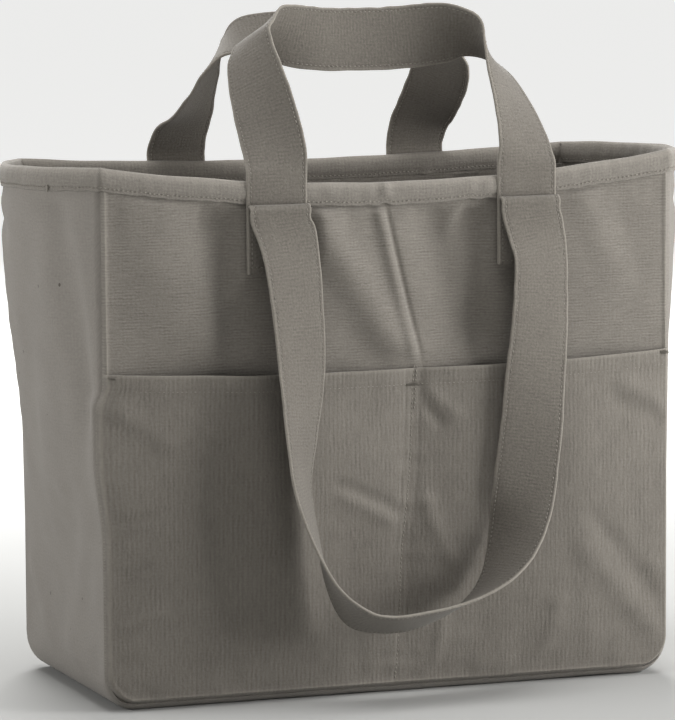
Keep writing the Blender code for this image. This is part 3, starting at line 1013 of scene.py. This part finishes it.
@dataclass
class DividedPocket:
    """A full-width pocket on the lower front, sewn down its middle into two compartments."""

    form: BagForm
    sewing: SewingBox
    folds: tuple[Fold, ...]
    height: float = 0.2115
    sag: float = 0.005
    inset: float = 0.0006
    gape: float = 0.0078
    divider_top: float = 0.0155
    divider_flat: float = 0.010
    hem: float = 0.0100
    compartment_columns: int = 84
    flat_columns: int = 8
    arc_rows: int = 12
    straight_rows: int = 84

    def top(self, x: np.ndarray) -> np.ndarray:
        """Height of the pocket's edge."""
        return self.height - self.sag * (1 - (x / self.form.half_width) ** 2)

    def divider(self, z: np.ndarray) -> np.ndarray:
        """Where the divider's stitching runs."""
        return self.divider_top * z / self.height + 0.0008 * np.sin(z * 55)

    def stand_off(self, x: np.ndarray, z: np.ndarray) -> np.ndarray:
        """How far the pocket's outer face stands off the front panel's."""
        form = self.form
        middle = self.divider(z)
        half = self.divider_flat / 2
        edge = form.half_at(z) - self.inset
        left = (x + edge) / (middle - half + edge)
        right = (x - middle - half) / (edge - middle - half)
        share = np.where(x < middle, left, right)
        crown = np.sin(math.pi * np.clip(share, 0, 1)) ** 0.75
        full = np.sin(math.pi / 2 * np.clip(z / self.height, 0, 1)) ** 0.8
        beside = np.abs(x - middle)
        gathers = 0.0007 * wobble(z, x * 0.15, 0.012, 71) * np.exp(-beside / 0.014)
        seam_gathers = 0.0007 * wobble(z, x * 0.1, 0.016, 72) * np.exp(-(edge - np.abs(x)) / 0.022)
        base_gathers = 0.0008 * wobble(x, z * 0.15, 0.020, 73) * np.exp(-z / 0.022)
        soft = folded(self.folds, x, z) + 0.0007 * wobble(x, z, 0.07, 74) + 0.0002 * wobble(x, z, 0.02, 75)
        held = smoothstep((edge - np.abs(x)) / 0.012) * smoothstep(z / 0.012)
        loose = soft * held * smoothstep(beside / 0.016) + (gathers + seam_gathers) * held
        loose = loose + base_gathers * smoothstep(z / 0.006) * held
        line = -0.0004 * bell(beside, 0.0012)
        seam = 0.0013 * smoothstep((edge - np.abs(x)) / 0.004) * smoothstep(z / 0.004)
        return 0.0005 + seam + self.gape * crown * full + loose + line

    def face_point(self, x: np.ndarray, z: np.ndarray) -> np.ndarray:
        """A point of the pocket's outer face at a place on the front."""
        form = self.form
        hem_row = self.top(x) - z - self.hem
        turned = 0.0007 * smoothstep(0.5 - hem_row / 0.0016) - 0.0004 * bell(hem_row, 0.0007)
        distance = np.minimum(form.edge_distance(x, z), form.half_width - np.abs(x))
        out = self.stand_off(x, z) + turned + seam_relief(distance)
        pushed = x - form.corner_push(z) * bell(x + form.half_width, 0.015)
        return np.stack(np.broadcast_arrays(pushed, -form.half_depth - out, form.lifted(z) + 0.0004), -1)

    def build(self, material: bpy.types.Material) -> None:
        """Make the pocket, its stitching and its three bartacks."""
        form = self.form
        low, share = (a[:, None] for a in panel_rows(form, self.arc_rows, self.straight_rows))
        z_row = low + share * (self.height - form.corner)
        edge = form.half_at(low) - self.inset
        middle = self.divider(z_row)
        half = self.divider_flat / 2
        even = (crowded(self.compartment_columns + 1, 0.8)[None, :] + 1) / 2
        between = np.linspace(0, 1, self.flat_columns + 1)[None, 1:-1]
        left = -edge + even * (middle - half + edge)
        flat = middle - half + between * self.divider_flat
        right = middle + half + even * (edge - middle - half)
        x = np.concatenate([left, flat, right], axis=1)
        z = low + share * (self.top(x) - form.corner)
        outer = self.face_point(x, z)
        near_top = self.top(x) - z
        # Painted highlight along the hem, the seams round the sides and base, and faintly along the
        # divider.
        edge_highlight_share = 0.35 * bell(near_top, 0.0012) + 0.35 * bell(form.edge_distance(x, z) - 0.0024, 0.0008)
        edge_highlight_share = edge_highlight_share + 0.08 * bell(x - self.divider(z), 0.002)
        thick = form.canvas + 0.0007 * smoothstep(0.5 + (self.hem - near_top) / 0.0016)
        cloth = cloth_shell(
            "pocket_cloth", outer, thick, material, np.stack([x, z], -1), np.clip(edge_highlight_share, 0, 1)
        )
        on_cloth = np.array([0.0, -0.0001, 0.0])
        hem_x = np.linspace(-form.half_width + 0.003, form.half_width - 0.003, 300)
        hem_row = self.face_point(hem_x, self.top(hem_x) - self.hem) + on_cloth
        divider_z = np.linspace(0.006, self.height - 0.004, 160)
        divider_row = self.face_point(self.divider(divider_z), divider_z) + on_cloth
        second_z = np.linspace(self.height - 0.030, self.height - 0.004, 30)
        second_row = self.face_point(self.divider(second_z) + 0.0016, second_z) + on_cloth
        stitches = self.sewing.stitches("pocket_stitches", [hem_row, divider_row, second_row], 81)
        hem_z = self.top(np.array(self.divider_top)) - self.hem
        bar = self.face_point(self.divider(hem_z), hem_z) + 6 * on_cloth
        divider_tack = self.sewing.bartack("divider_bartack", tuple(bar), 0.0125, 0.0017)
        tacks = [(divider_tack, "pocket_divider_bartack")]
        corner_z = self.top(form.half_width) - 0.0022
        for sign, node in ((-1, "pocket_left_bartack"), (1, "pocket_right_bartack")):
            at = self.face_point(np.array(sign * (form.half_width - 0.0045)), corner_z) + 5 * on_cloth
            tack = self.sewing.bartack(node.replace("pocket", "mouth"), tuple(at), 0.0060, 0.0018)
            tacks.append((tack, node))
        for tack, node in tacks:
            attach(tack, "bag")
            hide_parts(node)
        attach(cloth, "bag")
        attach(stitches, "bag")
        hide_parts("front_pocket")


# Straps


def catmull_rom(values: list[float], position: float) -> float:
    """A smooth curve through values, at a position counted in list steps."""
    last = len(values) - 1
    i = min(int(position), last - 1)
    t = position - i
    a, b, c, d = values[max(i - 1, 0)], values[i], values[i + 1], values[min(i + 2, last)]
    return 0.5 * (2 * b + (c - a) * t + (2 * a - 5 * b + 4 * c - d) * t**2 + (3 * b - 3 * c + d - a) * t**3)


@dataclass
class StrapLoop:
    """A flat strap sewn to one face at both ends, in one length with its loop."""

    name: str
    face: Face
    centre_x: float
    body: str
    nodes: tuple[str, ...]
    route: tuple[tuple[float, float, float, float], ...]
    end_y: float  # of the sewn ends, from the bag's mid plane
    fold_y: float  # of the hinge of a strap that folds over, or the same as end_y
    end_top: float
    blend_start: tuple[float, float, float]
    blend_end: tuple[float, float, float]
    seed: int
    end_foot: float = 0.2705
    width: float = 0.040
    steps: int = 12
    station_gap: float = 0.0022
    root_length: float = 0.030  # over which the loop takes up its own turn

    # One half of the strap's section: share of the half width, and half the thickness there
    section = (
        (1.000, 0.00000),
        (0.994, 0.00055),
        (0.975, 0.00088),
        (0.930, 0.00098),
        (0.890, 0.00085),
        (0.860, 0.00062),
        (0.830, 0.00085),
        (0.780, 0.00092),
        (0.400, 0.00088),
        (0.000, 0.00086),
    )
    row_share = 0.860

    def stations(self) -> tuple[np.ndarray, np.ndarray]:
        """The strap's middle line and its half-width vectors, from one sewn foot to the other.

        Returns:
            The points, then the vectors from the middle to one edge.
        """
        side = self.face.value
        route = [(self.centre_x + x, side * y, z, turn) for x, y, z, turn in self.route]
        count = (len(route) - 1) * self.steps
        columns = [[point[k] for point in route] for k in range(4)]
        loop = np.array([[catmull_rom(c, i / self.steps) for c in columns] for i in range(count + 1)])
        centre = loop[:, :3]
        along = np.gradient(centre, axis=0)
        along[0], along[-1] = (np.subtract(route[1], route[0]))[:3], (np.subtract(route[-1], route[-2]))[:3]
        along = unit(along)
        outwards = np.array([0.0, side, 0.0])
        edge_on = unit(outwards - along * (along @ outwards)[:, None])
        flat = np.cross(edge_on, along) * -side
        turn = np.radians(loop[:, 3])[:, None]
        half = (edge_on * np.cos(turn) + flat * np.sin(turn)) * self.width / 2
        gap = np.linalg.norm(np.diff(centre, axis=0), axis=1)
        run = np.concatenate([[0.0], np.cumsum(gap)])
        for anchor, away in ((half[0], run), (half[-1], run[-1] - run)):
            share = smoothstep(away / self.root_length)[:, None]
            half = unit(anchor * (1 - share) + half * share) * self.width / 2
        left_foot = self._foot(centre[0])
        right_foot = self._foot(centre[-1])[::-1]
        points = np.concatenate([left_foot, centre, right_foot])
        halves = np.concatenate(
            [np.repeat(half[:1], len(left_foot), 0), half, np.repeat(half[-1:], len(right_foot), 0)]
        )
        return self._evened(points, halves)

    def _foot(self, root: np.ndarray) -> np.ndarray:
        """Points from the foot of a sewn end up to the loop's root, round the fold if there is one."""
        side = self.face.value
        x = root[0]
        up = np.linspace(self.end_foot, self.end_top, 20)
        points = [(x, side * self.end_y, z) for z in up]
        if self.fold_y != self.end_y:
            radius = self.fold_y - self.end_y
            for angle in np.linspace(math.pi, 0, 15)[1:-1]:
                y = self.fold_y + radius * math.cos(angle)
                points.append((x, side * y, root[2] + radius * math.sin(angle) * 1.15))
        return np.array(points)

    def _evened(self, points: np.ndarray, halves: np.ndarray) -> tuple[np.ndarray, np.ndarray]:
        """Space the stations evenly, closer where the strap folds over."""
        gap = np.linalg.norm(np.diff(points, axis=0), axis=1)
        run = np.concatenate([[0.0], np.cumsum(gap)])
        near_fold = np.zeros_like(run)
        if self.fold_y != self.end_y:
            first = run[19]
            near_fold = bell(run - first - 0.005, 0.008) + bell(run[-1] - run - first - 0.005, 0.008)
        weight = np.concatenate([[0.0], np.cumsum(gap * (1 + 3 * near_fold[1:]))])
        count = int(weight[-1] / self.station_gap)
        at = np.interp(np.linspace(0, weight[-1], count), weight, run)
        even = [np.stack([np.interp(at, run, a[:, k]) for k in range(3)], -1) for a in (points, halves)]
        return even[0], even[1]

    def build(self, material: bpy.types.Material, sewing: SewingBox) -> None:
        """Make the strap and its stitching, bending where the loop leaves the sewn ends."""
        points, halves = self.stations()
        along = unit(np.gradient(points, axis=0))
        across = unit(halves)
        normal = unit(np.cross(along, across))
        run = np.concatenate([[0.0], np.cumsum(np.linalg.norm(np.diff(points, axis=0), axis=1))])
        free = smoothstep((run - 0.045) / 0.03) * smoothstep((run[-1] - run - 0.045) / 0.03)
        sway = 0.0003 * wobble(run, run * 0, 0.03, self.seed) * free
        upper = [*self.section, *[(-share, thick) for share, thick in reversed(self.section[:-1])]]
        lower = [(share, -thick) for share, thick in reversed(upper[1:-1])]
        profile = upper + lower
        count = len(points)
        ring = len(profile)
        grid = np.zeros((count, ring, 3))
        own = np.zeros((count, ring, 2))
        highlight_share = np.zeros((count, ring))
        for k, (share, thick) in enumerate(profile):
            edge_seed = self.seed + (1 if share > 0 else 2)
            edge_wave = sway + 0.0002 * wobble(run, run * 0, 0.012, edge_seed) * free
            reach = share * self.width / 2 + edge_wave * abs(share)
            cup = -0.0006 * (1 - share**2) * free * wobble(run, run * 0, 0.09, self.seed + 3)
            grid[:, k] = points + across * reach[:, None] + normal * (thick + cup)[:, None]
            own[:, k] = np.stack([reach, run], -1)
            # Painted highlight along both edges of the strap.
            highlight_share[:, k] = 0.5 * bell(np.array(1 - abs(share)), 0.05)
        quads = grid_faces(count, ring, wrap=True).tolist()
        caps = [list(range(ring))[::-1], [(count - 1) * ring + k for k in range(ring)]]
        strap = make_object(self.name, grid, quads + caps, material, own, highlight_share, sharp=60.0)
        rows = self._rows(points, across, normal, run, free)
        stitches = sewing.stitches(self.name + "_stitches", rows, self.seed)
        for piece in (strap, stitches):
            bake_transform(piece)
        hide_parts(*self.nodes)

    def _rows(
        self, points: np.ndarray, across: np.ndarray, normal: np.ndarray, run: np.ndarray, free: np.ndarray
    ) -> list[np.ndarray]:
        """The lines that the strap's stitches follow: both edges on both sides, and across its feet."""
        lines = []
        inset = slice(2, -2)
        cup = -0.0006 * (1 - self.row_share**2) * free * wobble(run, run * 0, 0.09, self.seed + 3)
        for edge in (1, -1):
            for side in (1, -1):
                reach = edge * self.row_share * self.width / 2
                row = points + across * reach + normal * (side * 0.00078 + cup)[:, None]
                lines.append(row[inset])
        feet = (int(np.argmax(run > 0.003)), int(np.argmax(run > run[-1] - 0.003)))
        for at in feet:
            span = np.linspace(-0.86, 0.86, 16)[:, None] * self.width / 2
            for side in (1, -1):
                lines.append(points[at] + across[at] * span + normal[at] * side * 0.00095)
        return lines


# The setting


@dataclass
class Studio:
    """A pale floor, soft light and the camera."""

    camera_at: tuple[float, float, float] = (-1.05, -2.878, 0.559)
    yaw: float = 19.98
    pitch: float = 6.72
    roll: float = -0.36
    lens: float = 238.4
    shift_y: float = 0.0104

    def build(self) -> None:
        """Make the floor, the lights, the sky and the camera."""
        scene = bpy.context.scene
        floor_mesh = bpy.data.meshes.new("floor")
        reach = 30.0
        corners = [(-reach, -reach, 0.0), (reach, -reach, 0.0), (reach, reach, 0.0), (-reach, reach, 0.0)]
        floor_mesh.from_pydata(corners, [], [(0, 1, 2, 3)])
        floor = bpy.data.objects.new("floor", floor_mesh)
        scene.collection.objects.link(floor)
        floor_mesh.materials.append(self._paper())

        world = bpy.data.worlds.new("pale_studio")
        world.use_nodes = True
        sky = world.node_tree.nodes["Background"]
        sky.inputs["Color"].default_value = linear("#fbfbfa")
        sky.inputs["Strength"].default_value = 0.14
        scene.world = world
        scene.view_settings.view_transform = "Standard"

        self._lamp("key_softbox", (1.12, -0.76, 0.52), 0.75, 20.5)
        self._lamp("left_softbox", (-2.2, 0.60, 0.90), 1.2, 23.0)
        self._lamp("top_softbox", (-0.2, -0.20, 2.2), 1.4, 30.0)
        self._lamp("front_fill", (-0.3, -2.4, 1.5), 1.2, 2.0)
        self._lamp("back_softbox", (0.4, 1.9, 1.5), 1.2, 62.0)

        camera_data = bpy.data.cameras.new("studio_camera")
        camera = bpy.data.objects.new("studio_camera", camera_data)
        scene.collection.objects.link(camera)
        camera_data.lens = self.lens
        camera_data.sensor_width = 36.0
        camera_data.shift_y = self.shift_y
        camera_data.clip_end = 100.0
        yaw, pitch = math.radians(self.yaw), math.radians(self.pitch)
        ahead = Vector((math.sin(yaw) * math.cos(pitch), math.cos(yaw) * math.cos(pitch), -math.sin(pitch)))
        aim = ahead.to_track_quat("-Z", "Y").to_matrix().to_4x4()
        camera.matrix_world = aim
        camera.rotation_euler.rotate_axis("Z", math.radians(self.roll))
        camera.location = self.camera_at
        scene.camera = camera

    @staticmethod
    def _paper() -> bpy.types.Material:
        """Pale grey paper with a painted glow that grows some way out, so that it ends in white."""
        paper = bpy.data.materials.new("pale_paper_sweep")
        paper.use_nodes = True
        tree = paper.node_tree
        shader = tree.nodes["Principled BSDF"]
        shader.inputs["Base Color"].default_value = linear("#b2b2b0")
        shader.inputs["Roughness"].default_value = 0.95
        shader.inputs["Specular IOR Level"].default_value = 0.1
        # Painted glow: emission that rises with distance from the middle of the floor.
        shader.inputs["Emission Color"].default_value = linear("#fbfbfa")
        place = add_node(tree, "ShaderNodeTexCoord").outputs["Object"]
        away = add_node(tree, "ShaderNodeVectorMath", {}, {0: place}, operation="LENGTH").outputs["Value"]
        glow = add_node(
            tree,
            "ShaderNodeMapRange",
            {"From Min": 0.25, "From Max": 1.7, "To Min": 0.0, "To Max": 0.80},
            {"Value": away},
            interpolation_type="SMOOTHSTEP",
        )
        tree.links.new(glow.outputs["Result"], shader.inputs["Emission Strength"])
        return paper

    @staticmethod
    def _lamp(name: str, place: tuple[float, float, float], size: float, watts: float) -> None:
        """Add a square softbox that faces the bag."""
        data = bpy.data.lights.new(name, "AREA")
        data.size = size
        data.energy = watts
        lamp = bpy.data.objects.new(name, data)
        lamp.location = place
        aim = Vector((0.0, 0.0, 0.18)) - Vector(place)
        lamp.rotation_euler = aim.to_track_quat("-Z", "Y").to_euler()
        bpy.context.scene.collection.objects.link(lamp)


# This bag's own shapes

FRONT_FOLDS = (
    Fold((-0.050, 0.302), (0.004, 0.218), 0.0140, 0.0062, 0.03),
    Fold((0.026, 0.305), (0.050, 0.235), 0.0160, -0.0062, 0.03),
    Fold((0.052, 0.300), (0.063, 0.228), 0.0085, -0.0040, 0.02),
    Fold((-0.118, 0.318), (-0.104, 0.235), 0.0140, -0.0050, 0.03),
    Fold((-0.156, 0.300), (-0.140, 0.235), 0.0240, 0.0036, 0.04),
    Fold((-0.124, 0.318), (-0.126, 0.304), 0.0028, -0.0014, 0.006),
    Fold((-0.108, 0.317), (-0.114, 0.300), 0.0032, 0.0014, 0.008),
    Fold((0.052, 0.316), (0.040, 0.296), 0.0040, 0.0016, 0.010),
    Fold((0.130, 0.315), (0.150, 0.270), 0.0120, 0.0022, 0.03),
)
BACK_FOLDS = (
    Fold((-0.120, 0.300), (-0.060, 0.180), 0.0200, 0.0028, 0.04),
    Fold((0.030, 0.305), (-0.020, 0.170), 0.0180, -0.0030, 0.04),
    Fold((0.120, 0.300), (0.090, 0.150), 0.0200, 0.0026, 0.04),
    Fold((-0.150, 0.120), (-0.060, 0.060), 0.0180, 0.0022, 0.04),
    Fold((0.160, 0.130), (0.070, 0.050), 0.0180, -0.0024, 0.04),
)
POCKET_FOLDS = (
    Fold((-0.098, 0.200), (-0.066, 0.060), 0.0160, 0.0034, 0.04),
    Fold((-0.128, 0.190), (-0.112, 0.070), 0.0150, -0.0022, 0.04),
    Fold((-0.178, 0.186), (-0.150, 0.168), 0.0070, 0.0016, 0.012),
    Fold((-0.186, 0.118), (-0.164, 0.122), 0.0028, -0.0012, 0.008),
    Fold((-0.186, 0.085), (-0.166, 0.090), 0.0030, -0.0012, 0.008),
    Fold((-0.186, 0.052), (-0.158, 0.060), 0.0034, 0.0013, 0.010),
    Fold((-0.037, 0.135), (0.000, 0.119), 0.0040, -0.0016, 0.010),
    Fold((-0.034, 0.128), (-0.002, 0.111), 0.0050, 0.0014, 0.010),
    Fold((0.018, 0.186), (0.030, 0.172), 0.0035, -0.0013, 0.008),
    Fold((0.024, 0.192), (0.040, 0.178), 0.0050, 0.0013, 0.010),
    Fold((0.022, 0.120), (0.034, 0.090), 0.0060, 0.0014, 0.015),
    Fold((0.032, 0.044), (0.028, 0.018), 0.0045, 0.0012, 0.010),
    Fold((0.110, 0.050), (0.104, 0.020), 0.0060, 0.0012, 0.012),
    Fold((0.130, 0.085), (0.172, 0.036), 0.0080, 0.0016, 0.02),
    Fold((0.140, 0.100), (0.180, 0.052), 0.0060, -0.0012, 0.02),
    Fold((0.155, 0.190), (0.184, 0.178), 0.0060, 0.0016, 0.010),
    Fold((0.150, 0.180), (0.182, 0.166), 0.0060, -0.0012, 0.010),
)
SIDE_FOLDS = (
    Fold((0.052, 0.318), (0.078, 0.190), 0.0130, -0.0052, 0.03),
    Fold((-0.075, 0.316), (-0.030, 0.296), 0.0070, -0.0022, 0.02),
    Fold((0.030, 0.300), (-0.020, 0.150), 0.0180, -0.0022, 0.05),
    Fold((-0.040, 0.290), (-0.055, 0.160), 0.0160, 0.0016, 0.05),
    Fold((0.060, 0.120), (0.020, 0.040), 0.0140, 0.0016, 0.03),
    Fold((-0.070, 0.070), (-0.030, 0.030), 0.0080, 0.0012, 0.02),
)

LEG_SPREAD = 0.0837
HANDLE_Y = 0.0918
STRAP_END_Y = 0.0937
STRAP_HINGE_Y = 0.0967
STRAP_HANG_Y = 0.0997
HANDLE_FOOT = (HANDLE_Y, 0.3305, -90)
# Points of each loop: from its middle, from the bag's mid plane, height, and turn in degrees
FRONT_HANDLE = (
    (-LEG_SPREAD, *HANDLE_FOOT),
    (-LEG_SPREAD, 0.0916, 0.336, -87),
    (-0.0844, 0.0880, 0.350, -75),
    (-0.0866, 0.0785, 0.371, -61),
    (-0.0887, 0.0670, 0.391, -43),
    (-0.0885, 0.0575, 0.407, -22),
    (-0.0835, 0.0505, 0.417, 10),
    (-0.0710, 0.0455, 0.4185, 56),
    (-0.0515, 0.0420, 0.4150, 84),
    (-0.0310, 0.0403, 0.4125, 96),
    (-0.0110, 0.0397, 0.4120, 98),
    (0.0090, 0.0403, 0.4122, 97),
    (0.0285, 0.0420, 0.4132, 92),
    (0.0465, 0.0455, 0.4148, 76),
    (0.0600, 0.0505, 0.4140, 42),
    (0.0690, 0.0575, 0.4055, -4),
    (0.0755, 0.0670, 0.391, -36),
    (0.0802, 0.0785, 0.371, -54),
    (0.0832, 0.0880, 0.350, -70),
    (LEG_SPREAD, 0.0916, 0.336, -86),
    (LEG_SPREAD, *HANDLE_FOOT),
)
BACK_HANDLE = (
    (-LEG_SPREAD, *HANDLE_FOOT),
    (-LEG_SPREAD, 0.0912, 0.336, -88),
    (-0.0828, 0.0820, 0.350, -78),
    (-0.0810, 0.0660, 0.363, -60),
    (-0.0800, 0.0480, 0.379, -46),
    (-0.0785, 0.0330, 0.394, -30),
    (-0.0730, 0.0250, 0.406, -4),
    (-0.0605, 0.0200, 0.4125, 30),
    (-0.0400, 0.0185, 0.4120, 50),
    (-0.0200, 0.0180, 0.4110, 55),
    (0.0000, 0.0180, 0.4105, 56),
    (0.0200, 0.0180, 0.4110, 55),
    (0.0400, 0.0185, 0.4120, 50),
    (0.0605, 0.0200, 0.4120, 30),
    (0.0735, 0.0250, 0.4055, -4),
    (0.0805, 0.0330, 0.394, -34),
    (0.0840, 0.0480, 0.379, -52),
    (0.0845, 0.0660, 0.363, -68),
    (0.0840, 0.0820, 0.350, -80),
    (LEG_SPREAD, 0.0912, 0.336, -89),
    (LEG_SPREAD, *HANDLE_FOOT),
)
STRAP_HANG = (
    (-LEG_SPREAD, STRAP_HANG_Y, 0.3095, -90),
    (-LEG_SPREAD, STRAP_HANG_Y, 0.304, -89),
    (-0.0792, 0.1012, 0.290, -81),
    (-0.0758, 0.1060, 0.256, -73),
    (-0.0747, 0.1110, 0.213, -65),
    (-0.0770, 0.1165, 0.172, -48),
    (-0.0778, 0.1205, 0.138, -33),
    (-0.0694, 0.1240, 0.102, -20),
    (-0.0600, 0.1265, 0.0765, -4),
    (-0.0438, 0.1280, 0.0563, 18),
    (-0.0250, 0.1285, 0.0512, 23),
    (-0.0050, 0.1285, 0.0520, 25),
    (0.0130, 0.1275, 0.0555, 21),
    (0.0330, 0.1255, 0.0625, 14),
    (0.0490, 0.1220, 0.0730, 0),
    (0.0600, 0.1180, 0.0870, -20),
    (0.0680, 0.1140, 0.104, -40),
    (0.0735, 0.1115, 0.127, -64),
    (0.0785, 0.1095, 0.158, -74),
    (0.0835, 0.1070, 0.198, -86),
    (0.0875, 0.1045, 0.236, -96),
    (0.0895, 0.1020, 0.272, -102),
    (0.0868, 0.1002, 0.292, -97),
    (LEG_SPREAD, STRAP_HANG_Y, 0.304, -91),
    (LEG_SPREAD, STRAP_HANG_Y, 0.3095, -90),
)


def build_straps(material: bpy.types.Material, sewing: SewingBox) -> None:
    """Make the carry handle and the shoulder strap of each face."""
    for face, centre_x, handle, seed in (
        (Face.FRONT, 0.0072, FRONT_HANDLE, 100),
        (Face.BACK, 0.0015, BACK_HANDLE, 200),
    ):
        side = face.value
        label = face.name.lower()
        StrapLoop(
            name=f"{label}_handle_strap",
            face=face,
            centre_x=centre_x,
            body=f"{label}_handle",
            nodes=(f"{label}_handle_left_end", f"{label}_handle_right_end", f"{label}_carry_handle"),
            route=handle,
            root_length=0.010,
            end_y=HANDLE_Y,
            fold_y=HANDLE_Y,
            end_top=0.3290,
            blend_start=(0.0, 0.0, 0.3255),
            blend_end=(0.0, 0.0, 0.3360),
            seed=seed,
        ).build(material, sewing)
        StrapLoop(
            name=f"{label}_long_strap",
            face=face,
            centre_x=centre_x,
            body=f"{label}_strap",
            nodes=(f"{label}_strap_left_end", f"{label}_strap_right_end", f"{label}_shoulder_strap"),
            route=STRAP_HANG,
            end_y=STRAP_END_Y,
            fold_y=STRAP_HINGE_Y,
            end_top=0.3085,
            blend_start=(0.0, side * 0.0947, 0.0),
            blend_end=(0.0, side * 0.0972, 0.0),
            seed=seed + 50,
        ).build(material, sewing)
        LOG.info("%s straps", label)


def build_thread_tab(form: BagForm, sewing: SewingBox) -> None:
    """Make the end of thread at the foot of the left side's binding."""
    y = -0.052
    out = form.half_width + float(form.bow(np.array(1.0), np.array(y))) + 0.0022
    foot = float(form.side_rim(np.array(y))) - form.binding - 0.0012
    line = np.array([[-out, y + 0.0004 * math.sin(k * 1.9), foot + 0.0012 * k] for k in range(5)])
    tab = grown("thread_end", [line], sewing.thread_tree, {"Thread": sewing.thread, "Radius": 0.0006})
    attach(tab, "bag")


def main() -> None:
    """Build every piece in order."""
    logging.basicConfig(level=logging.INFO)
    front_low, front_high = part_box("front_panel")
    back_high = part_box("back_panel")[1]
    form = BagForm(
        half_width=front_high.x,
        half_depth=-front_low.y,
        front_height=front_high.z,
        back_height=back_high.z,
    )
    panel_canvas = CanvasFinish(
        "plain_canvas_panel", "#847f77", "#615c56", 2.6, 1.9, 0.03, 0.16, 0.10, 0.35
    ).build()
    gusset_canvas = CanvasFinish(
        "plain_canvas_gusset",
        *("#8c8780", "#726d67", 2.2, 2.0, 0.04, 0.06, 0.15, 0.15),
        contrast=1.7,
        fleck_share=0.28,
    ).build()
    # Darker than the panel canvas: the pocket's own tone, and partly painted shade on the lower front.
    pocket_canvas = CanvasFinish(
        "ribbed_canvas_pocket", "#807b73", "#5a554f", 3.0, 2.2, 0.16, 0.03, 0.40, 0.06, contrast=1.9
    ).build()
    binding_tape = CanvasFinish(
        "cotton_binding_tape", "#89847c", "#68635d", 2.4, 2.0, 0.06, 0.08, 0.25, 0.10
    ).build()
    strap_canvas = CanvasFinish(
        "folded_canvas_strap", "#79746c", "#57524c", 2.0, 2.2, 0.04, 0.10, 0.15, 0.15
    ).build()
    thread = ThreadFinish("cotton_thread", "#938e85", "#77726a").build()
    sewing = SewingBox(thread, stitch_tree(), thread_tree())

    GussetStrip(form, SIDE_FOLDS).build(gusset_canvas)
    LOG.info("gusset")
    front_patches = (-0.0765, 0.0909)
    back_patches = (-0.0822, 0.0852)
    for face, folds, patches, crease in (
        (Face.FRONT, FRONT_FOLDS, front_patches, 1.0),
        (Face.BACK, BACK_FOLDS, back_patches, 0.0),
    ):
        node = f"{face.name.lower()}_panel"
        BodyPanel(form, face, node + "_cloth", node, folds, patches, crease).build(panel_canvas)
    LOG.info("panels")
    SeamAllowances(form).build(panel_canvas)
    DividedPocket(form, sewing, POCKET_FOLDS).build(pocket_canvas)
    LOG.info("pocket")
    RimBinding(form, sewing).build(binding_tape)
    build_thread_tab(form, sewing)
    LOG.info("binding")
    build_straps(strap_canvas, sewing)
    Studio().build()


if __name__ == "__main__":
    main()
